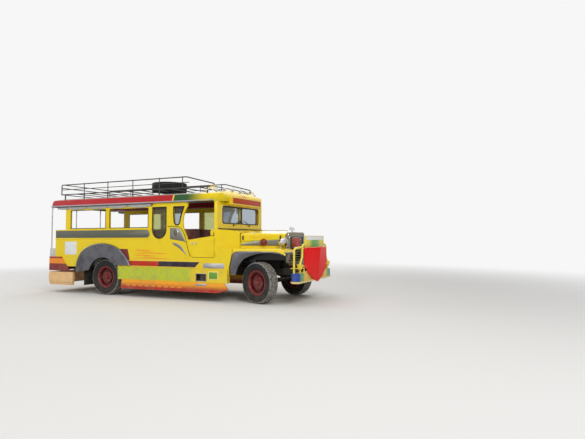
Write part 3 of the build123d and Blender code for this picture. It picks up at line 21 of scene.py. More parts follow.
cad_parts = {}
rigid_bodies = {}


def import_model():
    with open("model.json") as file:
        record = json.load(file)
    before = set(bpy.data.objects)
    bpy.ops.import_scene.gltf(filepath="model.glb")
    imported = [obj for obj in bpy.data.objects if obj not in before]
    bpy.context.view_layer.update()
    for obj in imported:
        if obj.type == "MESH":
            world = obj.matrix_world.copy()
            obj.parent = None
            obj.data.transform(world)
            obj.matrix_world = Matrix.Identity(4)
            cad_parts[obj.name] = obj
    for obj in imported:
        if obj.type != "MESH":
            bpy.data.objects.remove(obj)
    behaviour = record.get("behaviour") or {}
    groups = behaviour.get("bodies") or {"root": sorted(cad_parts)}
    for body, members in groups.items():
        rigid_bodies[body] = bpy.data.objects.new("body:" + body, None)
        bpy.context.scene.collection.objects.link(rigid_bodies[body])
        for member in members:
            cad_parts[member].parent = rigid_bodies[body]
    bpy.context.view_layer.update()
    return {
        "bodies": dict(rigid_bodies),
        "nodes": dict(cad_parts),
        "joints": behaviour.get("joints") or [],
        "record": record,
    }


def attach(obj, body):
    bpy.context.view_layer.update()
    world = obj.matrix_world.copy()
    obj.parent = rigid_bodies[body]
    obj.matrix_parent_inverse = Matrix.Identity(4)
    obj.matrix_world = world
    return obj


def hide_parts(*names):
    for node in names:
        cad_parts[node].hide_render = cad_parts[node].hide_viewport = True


log = logging.getLogger("jeepney")

Point = Sequence[float]
Flat = tuple[float, float]
Colour = tuple[float, float, float]
Shape = bmesh.types.BMesh
Build = Callable[[Shape], None]
Node = bpy.types.Node
Socket = bpy.types.NodeSocket
Tree = bpy.types.NodeTree
Material = bpy.types.Material
Thing = bpy.types.Object

FRONT_AXLE = 2.325
REAR_AXLE = -1.465
BODY_HALF = 0.920
WHEEL_RADIUS = 0.390
PHOTO_WIDTH = 585
RIVET_FACE = 0.9215
RIVET_RADIUS = 0.004
SMALLEST_RADIUS = 1e-7
MERGE_DISTANCE = 1e-6
SIDES = {"right": -1.0, "left": 1.0}
MIRROR = Matrix.Scale(-1.0, 4, (0.0, 1.0, 0.0))

AHEAD = (1.0, 0.0, 0.0)
ASTERN = (-1.0, 0.0, 0.0)
UP = (0.0, 0.0, 1.0)
RIGHTWARD = (0.0, -1.0, 0.0)
BONNET_OUT = (0.197, -0.980, 0.0)  # away from the bonnet's right side


class Slot(Enum):
    """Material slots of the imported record."""

    YELLOW = "yellow_paint"
    RED = "red_paint"
    GREEN = "green_paint"
    LIME = "lime_paint"
    BLUE = "blue_paint"
    SHEET = "silver_sheet"
    CHROME = "chrome"
    CHASSIS = "chassis_black"
    IRON = "cast_iron"
    TYRE = "tyre"
    RIM = "rim_paint"
    GLASS = "clear_glass"
    LENS = "red_lens"
    CURTAIN = "curtain"
    CUSHION = "cushion"
    RUBBER = "black_rubber"
    PLASTIC = "black_plastic"
    BOARD = "board_paint"


# Node graphs


class Graph:
    """Short way to wire a node tree."""

    def __init__(self, tree: Tree) -> None:
        """Keep the tree that is being wired."""
        self.tree = tree

    def node(self, kind: str, **settings: object) -> Node:
        """Add a node.

        Args:
            kind: Node type name, without the ShaderNode prefix.
            settings: Properties to set on the node.

        Returns:
            The new node.
        """
        made = self.tree.nodes.new("ShaderNode" + kind)
        for name, value in settings.items():
            setattr(made, name, value)
        return made

    def feed(self, socket: Socket, value: object) -> None:
        """Link an output into a socket, or set the socket to a plain value."""
        if isinstance(value, Socket):
            self.tree.links.new(value, socket)
        elif socket.type == "RGBA" and len(value) == 3:
            socket.default_value = (*value, 1.0)
        else:
            socket.default_value = value

    def math(self, operation: str, first: object, second: object = 0.5, clamp: bool = False) -> Socket:
        """Maths on one or two values.

        Args:
            operation: Blender's name of the operation.
            first: Value or output.
            second: Value or output.
            clamp: Whether the result is held between 0 and 1.

        Returns:
            The result's output.
        """
        made = self.node("Math", operation=operation, use_clamp=clamp)
        self.feed(made.inputs[0], first)
        self.feed(made.inputs[1], second)
        return made.outputs[0]

    def blend(self, factor: object, first: object, second: object, kind: str = "MIX") -> Socket:
        """Mix two colours.

        Args:
            factor: Share of the second colour.
            first: Colour or output.
            second: Colour or output.
            kind: Blender's blend type.

        Returns:
            The mixed colour's output.
        """
        made = self.node("Mix", data_type="RGBA", blend_type=kind, clamp_factor=True)
        self.feed(made.inputs[0], factor)
        self.feed(made.inputs[6], first)
        self.feed(made.inputs[7], second)
        return made.outputs[2]

    def ramp(self, value: object, low: float, high: float, start: float = 0.0, end: float = 1.0) -> Socket:
        """Map a value's range to another one, held at its ends.

        Args:
            value: Value or output.
            low: Input at the start.
            high: Input at the end.
            start: Output at low.
            end: Output at high.

        Returns:
            The mapped value's output.
        """
        made = self.node("MapRange", clamp=True, interpolation_type="SMOOTHSTEP")
        for index, number in enumerate((value, low, high, start, end)):
            self.feed(made.inputs[index], number)
        return made.outputs[0]

    def place(self, stretch: Point = (1.0, 1.0, 1.0)) -> Socket:
        """Position in the vehicle's frame, stretched by a factor on each axis."""
        where = self.node("TexCoord").outputs["Object"]
        mapping = self.node("Mapping")
        self.feed(mapping.inputs["Vector"], where)
        mapping.inputs["Scale"].default_value = stretch
        return mapping.outputs[0]

    def noise(self, where: object, scale: object, detail: float = 3.0, rough: float = 0.55) -> Socket:
        """Fractal noise.

        Args:
            where: Position output.
            scale: Features to the metre.
            detail: Octaves.
            rough: Strength of the small octaves.

        Returns:
            The noise value's output.
        """
        made = self.node("TexNoise")
        self.feed(made.inputs["Vector"], where)
        self.feed(made.inputs["Scale"], scale)
        made.inputs["Detail"].default_value = detail
        made.inputs["Roughness"].default_value = rough
        return made.outputs[0]

    def axes(self, where: object) -> tuple[Socket, ...]:
        """Split a position into its three coordinates."""
        made = self.node("SeparateXYZ")
        self.feed(made.inputs[0], where)
        return tuple(made.outputs)

    def band(self, value: object, low: float, high: float, soft: float) -> Socket:
        """Mask that is 1 between two limits, with soft edges."""
        up = self.ramp(value, low - soft, low + soft)
        down = self.ramp(value, high - soft, high + soft, 1.0, 0.0)
        return self.math("MULTIPLY", up, down)


Given = dict[str, Socket]
Wiring = Callable[[Graph, Given], tuple[Socket, Socket, Socket]]


class Effects:
    """Shared effects, each a node group that is built once."""

    made: dict[str, Tree] = {}

    @classmethod
    def shared(cls, name: str, inputs: dict[str, object], wire: Wiring) -> Tree:
        """Node group of an effect, which gives a colour, a roughness and a height.

        Args:
            name: The group's name.
            inputs: Default of each input: four numbers for a colour, one for a value.
            wire: Wires the group's nodes and returns its three results.

        Returns:
            The group, built on first use.
        """
        if name not in cls.made:
            tree = bpy.data.node_groups.new(name, "ShaderNodeTree")
            for label, default in inputs.items():
                kind = "Color" if isinstance(default, tuple) else "Float"
                socket = tree.interface.new_socket(label, in_out="INPUT", socket_type="NodeSocket" + kind)
                socket.default_value = default
            for label, kind in (("Color", "Color"), ("Roughness", "Float"), ("Height", "Float")):
                tree.interface.new_socket(label, in_out="OUTPUT", socket_type="NodeSocket" + kind)
            entry, leave = tree.nodes.new("NodeGroupInput"), tree.nodes.new("NodeGroupOutput")
            graph = Graph(tree)
            for socket, value in zip(leave.inputs, wire(graph, entry.outputs)):
                graph.feed(socket, value)
            cls.made[name] = tree
        return cls.made[name]

    @classmethod
    def road_wear(cls) -> Tree:
        """Fading, road dust, chips and orange peel on a painted or bare surface."""

        def wire(graph: Graph, given: Given) -> tuple[Socket, Socket, Socket]:
            where = graph.place()
            height = graph.axes(where)[2]
            broad = graph.noise(where, 1.9, 2.0)
            blotch = graph.noise(where, 9.0, 4.0, 0.65)
            fine = graph.noise(where, given["Grain"], 2.0)
            faded = graph.blend(
                graph.ramp(broad, 0.35, 0.7, 0.0, 0.12), given["Paint"], (1.0, 0.93, 0.78), "SOFT_LIGHT",
            )
            stained = graph.blend(
                graph.ramp(blotch, 0.52, 0.78, 0.0, 0.3), faded, (0.55, 0.5, 0.45), "MULTIPLY",
            )
            near_road = graph.math(
                "SUBTRACT", 1.0, graph.math("DIVIDE", height, given["Dust Height"]), clamp=True,
            )
            spread = graph.math("MULTIPLY", near_road, graph.ramp(blotch, 0.3, 0.72))
            facing = graph.axes(graph.node("NewGeometry").outputs["Normal"])[2]
            settled = graph.math(
                "MULTIPLY", graph.ramp(facing, 0.55, 0.98), graph.ramp(broad, 0.3, 0.75, 0.1, 0.55),
            )
            dust = graph.math("MULTIPLY", graph.math("MAXIMUM", spread, settled), given["Dust"], clamp=True)
            dusty = graph.blend(dust, stained, given["Dust Colour"])
            speck = graph.noise(where, 46.0, 5.0, 0.7)
            limit = graph.math("SUBTRACT", 0.79, graph.math("MULTIPLY", given["Chips"], 0.22))
            chip = graph.math("GREATER_THAN", speck, limit)
            chipped = graph.blend(chip, dusty, given["Bare Colour"])
            rough = graph.math("ADD", given["Roughness"], graph.math("MULTIPLY", dust, 0.5))
            rough = graph.math(
                "ADD", rough, graph.math("MULTIPLY", graph.ramp(blotch, 0.4, 0.75), 0.09), clamp=True,
            )
            lift = graph.math(
                "SUBTRACT", graph.math("MULTIPLY", fine, 0.25), graph.math("MULTIPLY", chip, 0.7),
            )
            lift = graph.math("ADD", lift, graph.math("MULTIPLY", broad, 0.9))
            return chipped, rough, lift

        inputs = {
            "Paint": (0.8, 0.8, 0.8, 1.0),
            "Dust Colour": (0.36, 0.29, 0.2, 1.0),
            "Bare Colour": (0.12, 0.06, 0.03, 1.0),
            "Dust": 0.4,
            "Dust Height": 0.8,
            "Chips": 0.1,
            "Roughness": 0.3,
            "Grain": 90.0,
        }
        return cls.shared("road_wear", inputs, wire)

    @classmethod
    def brushed_grain(cls) -> Tree:
        """Fine drawn lines, smears and small dents of sheet metal."""

        def wire(graph: Graph, given: Given) -> tuple[Socket, Socket, Socket]:
            along = graph.place((1.0, 1.0, 22.0))
            grain = graph.noise(along, given["Stretch"], 4.0, 0.7)
            where = graph.place()
            smear = graph.noise(where, 5.5, 3.0, 0.6)
            dent = graph.noise(where, 3.2, 1.0)
            mark = graph.math("MULTIPLY", graph.ramp(smear, 0.42, 0.75), given["Tarnish"])
            tone = graph.blend(
                graph.ramp(grain, 0.3, 0.7, 0.0, 0.18), given["Metal"], (0.25, 0.25, 0.24), "MULTIPLY",
            )
            stained = graph.blend(mark, tone, given["Tarnish Colour"])
            rough = graph.math("ADD", given["Roughness"], graph.math("MULTIPLY", mark, 0.5))
            rough = graph.math("ADD", rough, graph.math("MULTIPLY", grain, 0.08), clamp=True)
            lift = graph.math("ADD", graph.math("MULTIPLY", grain, 0.1), graph.math("MULTIPLY", dent, 1.4))
            return stained, rough, lift

        inputs = {
            "Metal": (0.6, 0.6, 0.6, 1.0),
            "Tarnish Colour": (0.18, 0.13, 0.09, 1.0),
            "Tarnish": 0.3,
            "Roughness": 0.25,
            "Stretch": 14.0,
        }
        return cls.shared("brushed_grain", inputs, wire)

    @classmethod
    def cloth_weave(cls) -> Tree:
        """Crossed threads with worn and faded patches."""

        def wire(graph: Graph, given: Given) -> tuple[Socket, Socket, Socket]:
            where = graph.place()
            waves = []
            for direction in ("X", "Z"):
                wave = graph.node("TexWave", wave_type="BANDS", bands_direction=direction)
                graph.feed(wave.inputs["Vector"], where)
                graph.feed(wave.inputs["Scale"], given["Threads"])
                wave.inputs["Distortion"].default_value = 0.6
                waves.append(wave.outputs["Fac"])
            weave = graph.math("MAXIMUM", *waves)
            patch = graph.noise(where, 6.0, 4.0, 0.6)
            tone = graph.blend(graph.ramp(patch, 0.4, 0.75, 0.0, 1.0), given["Thread"], given["Fade Colour"])
            faded = graph.blend(given["Fade"], given["Thread"], tone)
            shade = graph.blend(graph.math("MULTIPLY", weave, 0.25), faded, (0.35, 0.35, 0.35), "MULTIPLY")
            rough = graph.ramp(patch, 0.3, 0.8, 0.75, 0.95)
            return shade, rough, weave

        inputs = {
            "Thread": (0.4, 0.4, 0.38, 1.0),
            "Fade Colour": (0.62, 0.6, 0.55, 1.0),
            "Fade": 0.3,
            "Threads": 260.0,
        }
        return cls.shared("cloth_weave", inputs, wire)


# Finishes


@dataclass(frozen=True)
class PaintedPatch:
    """A painted area, as a box in the vehicle's frame, the same on both sides."""

    low: Point
    high: Point
    colour: Colour
    soft: float = 0.004


@dataclass(frozen=True)
class Finish:
    """What every finish has: its material's name and the slot it belongs to."""

    name: str
    slot: Slot

    def shader(self) -> tuple[Material, Graph, Node]:
        """New material with an empty Principled shader.

        Returns:
            The material, its graph and the shader node.
        """
        material = bpy.data.materials.new(self.name)
        material.use_nodes = True
        material.node_tree.nodes.clear()
        graph = Graph(material.node_tree)
        shader = graph.node("BsdfPrincipled")
        graph.feed(graph.node("OutputMaterial").inputs["Surface"], shader.outputs[0])
        return material, graph, shader

    def relief(self, graph: Graph, shader: Node, height: Socket, depth: float) -> None:
        """Feed a bump of the given depth in metres into the shader's normal."""
        bump = graph.node("Bump")
        bump.inputs["Strength"].default_value = 0.6
        bump.inputs["Distance"].default_value = depth
        graph.feed(bump.inputs["Height"], height)
        graph.feed(shader.inputs["Normal"], bump.outputs[0])

    def wired(self, graph: Graph, shader: Node, tree: Tree, depth: float, **values: object) -> Node:
        """Place an effect group, set its inputs and link its outputs to the shader.

        Args:
            graph: The material's graph.
            shader: The Principled node.
            tree: The effect's node group.
            depth: Bump depth in metres.
            values: Group inputs by name, with _ for a space.

        Returns:
            The group node.
        """
        group = graph.node("Group", node_tree=tree)
        for name, value in values.items():
            graph.feed(group.inputs[name.replace("_", " ")], value)
        graph.feed(shader.inputs["Base Color"], group.outputs["Color"])
        graph.feed(shader.inputs["Roughness"], group.outputs["Roughness"])
        self.relief(graph, shader, group.outputs["Height"], depth)
        return group

    def make(self) -> Material:
        """Build the material; each kind of finish has its own way."""
        raise NotImplementedError


@dataclass(frozen=True)
class Paint(Finish):
    """Gloss or satin paint with fading, dust and chips, and painted areas over it."""

    colour: Colour = (0.8, 0.8, 0.8)
    roughness: float = 0.28
    coat: float = 0.12
    specular: float = 0.28
    dust: float = 0.4
    dust_height: float = 0.9
    chips: float = 0.12
    bare: Colour = (0.13, 0.06, 0.03)
    patches: tuple[PaintedPatch, ...] = ()
    fade_to: Colour | None = None
    fade_axis: int = 2
    fade_from: float = 0.0
    fade_end: float = 1.0

    def make(self) -> Material:
        """Paint, its painted areas, then the road's wear over all of it."""
        material, graph, shader = self.shader()
        where = graph.place()
        axes = graph.axes(where)
        across = graph.math("ABSOLUTE", axes[1])
        along = (axes[0], across, axes[2])
        colour: object = self.colour
        if self.fade_to is not None:
            share = graph.ramp(along[self.fade_axis], self.fade_from, self.fade_end)
            colour = graph.blend(share, self.colour, self.fade_to)
        for patch in self.patches:
            masks = [
                graph.band(along[axis], patch.low[axis], patch.high[axis], patch.soft)
                for axis in range(3)
            ]
            mask = graph.math("MULTIPLY", graph.math("MULTIPLY", masks[0], masks[1]), masks[2])
            colour = graph.blend(mask, colour, patch.colour)
        self.wired(
            graph, shader, Effects.road_wear(), 0.0006,
            Paint=colour, Dust=self.dust, Dust_Height=self.dust_height, Chips=self.chips,
            Roughness=self.roughness, Bare_Colour=self.bare,
        )
        shader.inputs["Specular IOR Level"].default_value = self.specular
        shader.inputs["Coat Weight"].default_value = self.coat
        shader.inputs["Coat Roughness"].default_value = 0.08
        return material


@dataclass(frozen=True)
class Metal(Finish):
    """Bare, brushed or plated metal with smears and tarnish."""

    colour: Colour = (0.6, 0.6, 0.58)
    roughness: float = 0.2
    tarnish: float = 0.3
    tarnish_colour: Colour = (0.18, 0.12, 0.08)
    stretch: float = 14.0
    depth: float = 0.0004

    def make(self) -> Material:
        """Metal with the drawn grain."""
        material, graph, shader = self.shader()
        self.wired(
            graph, shader, Effects.brushed_grain(), self.depth,
            Metal=self.colour, Tarnish=self.tarnish, Tarnish_Colour=self.tarnish_colour,
            Roughness=self.roughness, Stretch=self.stretch,
        )
        shader.inputs["Metallic"].default_value = 1.0
        return material


@dataclass(frozen=True)
class Rubber(Finish):
    """Rubber of tyres and seals, dusty low down and paler on the tread: partly wear, partly a painted
    highlight.
    """

    colour: Colour = (0.03, 0.03, 0.032)
    dust: float = 0.75
    dust_height: float = 1.1
    tread_wear_and_highlight: Colour | None = None

    def make(self) -> Material:
        """Rubber with dust; the tread's running face is paler, partly from wear and partly as a painted
        highlight.
        """
        material, graph, shader = self.shader()
        colour: object = self.colour
        if self.tread_wear_and_highlight is not None:
            patch_noise = graph.noise(graph.place(), 30.0, 4.0)
            colour = graph.blend(graph.ramp(patch_noise, 0.35, 0.7), self.colour, self.tread_wear_and_highlight)
        self.wired(
            graph, shader, Effects.road_wear(), 0.0008,
            Paint=colour, Dust=self.dust, Dust_Height=self.dust_height, Chips=0.0,
            Roughness=0.72, Grain=160.0,
        )
        shader.inputs["Specular IOR Level"].default_value = 0.3
        return material


@dataclass(frozen=True)
class Glass(Finish):
    """Window or lamp glass."""

    colour: Colour = (0.75, 0.82, 0.8)
    roughness: float = 0.03
    transmission: float = 1.0

    def make(self) -> Material:
        """Glass with a film of dust in its colour and roughness."""
        material, graph, shader = self.shader()
        film = graph.noise(graph.place(), 14.0, 4.0)
        graph.feed(
            shader.inputs["Base Color"],
            graph.blend(graph.ramp(film, 0.45, 0.8, 0.0, 0.35), self.colour, (0.6, 0.58, 0.52)),
        )
        graph.feed(
            shader.inputs["Roughness"], graph.ramp(film, 0.4, 0.8, self.roughness, self.roughness + 0.12),
        )
        shader.inputs["Transmission Weight"].default_value = self.transmission
        shader.inputs["IOR"].default_value = 1.45
        return material


@dataclass(frozen=True)
class Cloth(Finish):
    """Woven canvas."""

    colour: Colour = (0.38, 0.38, 0.36)
    faded: Colour = (0.6, 0.59, 0.55)
    threads: float = 260.0

    def make(self) -> Material:
        """Cloth with crossed threads and faded patches."""
        material, graph, shader = self.shader()
        self.wired(
            graph, shader, Effects.cloth_weave(), 0.0004,
            Thread=self.colour, Fade_Colour=self.faded, Fade=0.45, Threads=self.threads,
        )
        shader.inputs["Sheen Weight"].default_value = 0.25
        return material


@dataclass(frozen=True)
class Vinyl(Finish):
    """Leathercloth of the seats: fine creases and a pebbled grain."""

    colour: Colour = (0.28, 0.04, 0.04)

    def make(self) -> Material:
        """Grained vinyl with creases."""
        material, graph, shader = self.shader()
        where = graph.place()
        cells = graph.node("TexVoronoi", feature="DISTANCE_TO_EDGE")
        graph.feed(cells.inputs["Vector"], where)
        cells.inputs["Scale"].default_value = 190.0
        pebble = graph.ramp(cells.outputs["Distance"], 0.0, 0.25)
        patch_noise = graph.noise(where, 5.0, 4.0)
        tone = graph.blend(graph.ramp(patch_noise, 0.4, 0.8, 0.0, 0.5), self.colour, (0.5, 0.32, 0.26))
        graph.feed(
            shader.inputs["Base Color"],
            graph.blend(graph.ramp(pebble, 0.0, 0.5, 0.4, 0.0), tone, (0.2, 0.1, 0.1), "MULTIPLY"),
        )
        graph.feed(shader.inputs["Roughness"], graph.ramp(patch_noise, 0.3, 0.8, 0.38, 0.58))
        self.relief(graph, shader, pebble, 0.0007)
        return material


YELLOW = (0.82, 0.60, 0.005)
# Near black inside the wheel arches, under the cowl and in the foothold recess: partly the parts' own dark
# colour, partly painted shade.
RECESS_SHADE_BLACK = (0.012, 0.012, 0.012)
FAR = 9.0  # past the vehicle's end on any axis
# Near black over the inside of the roof, seen through the windows: painted shade of the cab's ceiling.
CEILING_SHADE_BLACK = (0.05, 0.045, 0.04)


def body_paint(name: str, *patches: PaintedPatch) -> Paint:
    """The body's yellow, with painted areas of its own."""
    return Paint(name, Slot.YELLOW, colour=YELLOW, roughness=0.22, dust=0.3, patches=patches)


class Finishes:
    """Every finish of the vehicle, each built the first time that it is asked for."""

    table: dict[str, Finish] = {
        finish.name: finish
        for finish in (
            body_paint("body_yellow"),
            # Inside of the front arch and the plates beside the engine: near black, partly their own dark
            # colour, partly painted shade.
            body_paint(
                "front_fender_paint",
                PaintedPatch((-FAR, 0.0, 0.0), (FAR, 0.896, 0.965), RECESS_SHADE_BLACK, 0.003),
            ),
            # Cowl's lower front inside the fenders: near black, partly its own dark colour, partly painted
            # shade.
            body_paint("cowl_paint", PaintedPatch((1.60, 0.0, 0.0), (FAR, 0.912, 1.00), RECESS_SHADE_BLACK, 0.003)),
            # Inside of the rear wheel arch: near black, partly its own dark colour, partly painted shade.
            body_paint(
                "side_paint", PaintedPatch((-1.93, 0.0, 0.0), (-1.07, 0.957, 0.845), RECESS_SHADE_BLACK, 0.003),
            ),
            Paint(
                "board_bands", Slot.YELLOW, colour=(0.76, 0.66, 0.03), roughness=0.35,
                patches=(
                    PaintedPatch((-FAR, -FAR, -FAR), (FAR, 0.22, FAR), (0.07, 0.36, 0.01), 0.12),
                    PaintedPatch((-FAR, -FAR, 1.190), (FAR, FAR, FAR), (0.80, 0.80, 0.78), 0.003),
                ),
            ),
            Paint("lime_line", Slot.LIME, colour=(0.42, 0.60, 0.03), roughness=0.3),
            Paint("gutter_lilac", Slot.SHEET, colour=(0.40, 0.38, 0.44), roughness=0.3, dust=0.3),
            Paint("cream_yellow", Slot.YELLOW, colour=(0.86, 0.66, 0.17), roughness=0.3, chips=0.25),
            Paint("guard_yellow", Slot.YELLOW, colour=(0.84, 0.66, 0.06), roughness=0.3, chips=0.25),
            Paint(
                "roof_paint", Slot.RED, colour=(0.40, 0.008, 0.012), roughness=0.35, specular=0.15,
                dust=0.5, dust_height=0.1,
                patches=(
                    PaintedPatch((0.375, 0.6, 1.9), (FAR, FAR, FAR), (0.02, 0.08, 0.02), 0.006),
                    PaintedPatch((-FAR, -1.0, 2.125), (FAR, 0.87, FAR), (0.36, 0.36, 0.34), 0.01),
                    PaintedPatch((0.95, 0.0, 1.9), (FAR, FAR, FAR), YELLOW, 0.28),
                    PaintedPatch((0.355, 0.6, 1.9), (0.385, FAR, FAR), (0.75, 0.62, 0.08), 0.003),
                    # Ceiling inside the roof: near black painted shade.
                    PaintedPatch((-3.085, -1.0, 1.9), (1.40, 0.85, 2.095), CEILING_SHADE_BLACK, 0.003),
                    PaintedPatch((-3.085, -1.0, 1.9), (1.40, 0.885, 2.04), CEILING_SHADE_BLACK, 0.003),
                    PaintedPatch((-FAR, 0.9, 1.90), (0.95, FAR, 1.975), (0.40, 0.40, 0.39), 0.004),
                ),
            ),
            Paint(
                "shield_red", Slot.RED, colour=(0.84, 0.004, 0.003), roughness=0.42, coat=0.0, specular=0.1,
                dust=0.1,
            ),
            Paint("dark_red", Slot.RED, colour=(0.17, 0.015, 0.012), roughness=0.4, dust=0.7),
            Paint("stripe_red", Slot.RED, colour=(0.50, 0.025, 0.006), roughness=0.35, specular=0.12),
            Paint("stripe_purple", Slot.BLUE, colour=(0.012, 0.003, 0.022), roughness=0.3),
            Paint("stripe_orange", Slot.YELLOW, colour=(0.85, 0.26, 0.01), roughness=0.25),
            Paint("bumper_cream", Slot.YELLOW, colour=(0.85, 0.52, 0.24), roughness=0.35, chips=0.3),
            Paint("plate_white", Slot.BOARD, colour=(0.72, 0.74, 0.76), roughness=0.35, dust=0.2),
            Paint("square_green", Slot.GREEN, colour=(0.10, 0.30, 0.02), roughness=0.3),
            Paint("board_orange", Slot.RED, colour=(0.42, 0.045, 0.006), roughness=0.4, specular=0.1),
            Paint(
                "lime_bands", Slot.LIME, colour=(0.52, 0.60, 0.03), roughness=0.3, dust=0.6,
                fade_to=YELLOW, fade_axis=0, fade_from=0.75, fade_end=0.95,
                # Foothold recess: near black painted shade.
                patches=(PaintedPatch((0.973, 0.0, 0.393), (1.207, 0.945, 0.532), RECESS_SHADE_BLACK, 0.002),),
            ),
            Paint(
                "skirt_fade", Slot.RED, colour=(0.42, 0.015, 0.006), roughness=0.3, dust_height=0.5,
                fade_to=(0.95, 0.40, 0.01), fade_from=0.21, fade_end=0.33,
            ),
            Paint(
                "bumper_paint", Slot.GREEN, colour=(0.86, 0.50, 0.03), dust=0.3,
                patches=(
                    PaintedPatch((0.0, 0.62, 0.0), (FAR, FAR, FAR), (0.07, 0.34, 0.09), 0.06),
                    PaintedPatch((0.0, 0.78, 0.0), (FAR, FAR, FAR), (0.01, 0.06, 0.33), 0.035),
                    PaintedPatch((0.0, 0.0, 0.0), (FAR, FAR, 0.43), (0.86, 0.70, 0.30), 0.003),
                ),
            ),
            Paint(
                "valance_bands", Slot.RED, colour=(0.20, 0.012, 0.012), roughness=0.3,
                patches=(
                    PaintedPatch((-FAR, 0.0, 0.66), (FAR, FAR, 0.78), (0.86, 0.26, 0.01), 0.003),
                    PaintedPatch((-FAR, 0.0, 0.795), (FAR, FAR, 0.9), (0.45, 0.02, 0.01), 0.003),
                ),
            ),
            Paint(
                "rim_red", Slot.RIM, colour=(0.15, 0.006, 0.010), roughness=0.45, dust=0.22,
                dust_height=1.2, chips=0.3,
            ),
            Paint(
                "chassis_paint", Slot.CHASSIS, colour=(0.012, 0.012, 0.012), roughness=0.55, coat=0.0,
                dust=0.3, chips=0.3,
            ),
            Paint(
                "iron_black", Slot.IRON, colour=(0.03, 0.028, 0.026), roughness=0.65, coat=0.0, dust=0.35,
                chips=0.5, bare=(0.10, 0.04, 0.02),
            ),
            Paint(
                "rack_paint", Slot.SHEET, colour=(0.05, 0.05, 0.045), roughness=0.5, coat=0.0, dust=0.5,
                chips=0.5,
            ),
            Paint(
                "plastic_black", Slot.PLASTIC, colour=(0.02, 0.02, 0.02), roughness=0.42, coat=0.0,
                dust=0.3, chips=0.0,
            ),
            Paint(
                "floor_plate", Slot.SHEET, colour=(0.20, 0.20, 0.19), roughness=0.5, coat=0.0, dust=0.8,
                dust_height=3.0, chips=0.4,
            ),
            Metal(
                "fender_steel", Slot.SHEET, colour=(0.15, 0.15, 0.165), roughness=0.17, tarnish=0.6,
                tarnish_colour=(0.05, 0.05, 0.06), depth=0.0016,
            ),
            Metal("belt_steel", Slot.SHEET, colour=(0.13, 0.14, 0.11), roughness=0.3),
            Metal("bright_steel", Slot.SHEET, colour=(0.36, 0.36, 0.37), roughness=0.25, tarnish=0.4),
            Metal("wedge_steel", Slot.SHEET, colour=(0.22, 0.22, 0.19), roughness=0.25, tarnish=0.5),
            Metal(
                "chrome_plate", Slot.CHROME, colour=(0.58, 0.58, 0.59), roughness=0.07, tarnish=0.2,
                depth=0.0001,
            ),
            # Dark olive of the grille shell: partly its own colour, partly painted shade behind the guard and
            # shield.
            Metal("olive_steel", Slot.RED, colour=(0.20, 0.19, 0.12), roughness=0.3, tarnish=0.5),
            Rubber("tyre_rubber", Slot.TYRE, colour=(0.016, 0.016, 0.017), dust=0.15, dust_height=0.7),
            # Pale running face of the tread: partly road wear, partly a painted highlight of light on the
            # tread.
            Rubber(
                "tread_rubber", Slot.TYRE, colour=(0.07, 0.068, 0.066), dust=0.35, dust_height=0.9,
                tread_wear_and_highlight=(0.34, 0.335, 0.32),
            ),
            Rubber("seal_rubber", Slot.RUBBER, colour=(0.012, 0.012, 0.012), dust=0.2),
            Vinyl("seat_piping", Slot.CUSHION, colour=(0.5, 0.42, 0.3)),
            Cloth("curtain_strap", Slot.CURTAIN, colour=(0.16, 0.15, 0.13), faded=(0.3, 0.28, 0.25)),
            # Blue-grey tint of the windscreen and small panes: partly a smoked tint, partly painted shade of
            # the dark cab behind them.
            Glass("window_glass", Slot.GLASS, colour=(0.36, 0.42, 0.46)),
            Glass("tall_glass", Slot.GLASS, colour=(0.45, 0.47, 0.18)),
            Glass("lamp_glass", Slot.GLASS, colour=(0.9, 0.92, 0.92), roughness=0.02),
            Glass("pale_lens", Slot.GLASS, colour=(0.88, 0.87, 0.82), roughness=0.2, transmission=0.35),
            Glass("red_lens", Slot.LENS, colour=(0.6, 0.01, 0.008), roughness=0.05),
            Glass("amber_lens", Slot.LENS, colour=(0.8, 0.15, 0.01), roughness=0.05),
            Cloth("canvas", Slot.CURTAIN),
            Vinyl("seat_vinyl", Slot.CUSHION),
        )
    }
    made: dict[str, Material] = {}

    @classmethod
    def get(cls, name: str) -> Material:
        """Material of the finish with that name, built on first use."""
        if name not in cls.made:
            cls.made[name] = cls.table[name].make()
        return cls.made[name]


# Mesh building


def put_on(made: Thing, body: str, finish: str) -> Thing:
    """Give a piece its body and material, and report it.

    Args:
        made: The new object.
        body: CAD body that it rides on.
        finish: Name of the finish.

    Returns:
        The same object.
    """
    made.data.materials.append(Finishes.get(finish))
    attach(made, body)
    log.info("piece %s on %s", made.name, body)
    return made


def mesh_piece(name: str, build: Build, smooth: float = 35.0) -> Thing:
    """New mesh object.

    Args:
        name: Object's name.
        build: Fills the bmesh.
        smooth: Largest angle in degrees that is shaded smooth.

    Returns:
        The object, linked to the scene.
    """
    shape = bmesh.new()
    build(shape)
    bmesh.ops.remove_doubles(shape, verts=shape.verts, dist=MERGE_DISTANCE)
    bmesh.ops.recalc_face_normals(shape, faces=shape.faces)
    for face in shape.faces:
        face.smooth = True
    for edge in shape.edges:
        if len(edge.link_faces) == 2 and edge.calc_face_angle(0.0) > math.radians(smooth):
            edge.smooth = False
    data = bpy.data.meshes.new(name)
    shape.to_mesh(data)
    shape.free()
    made = bpy.data.objects.new(name, data)
    bpy.context.scene.collection.objects.link(made)
    return made


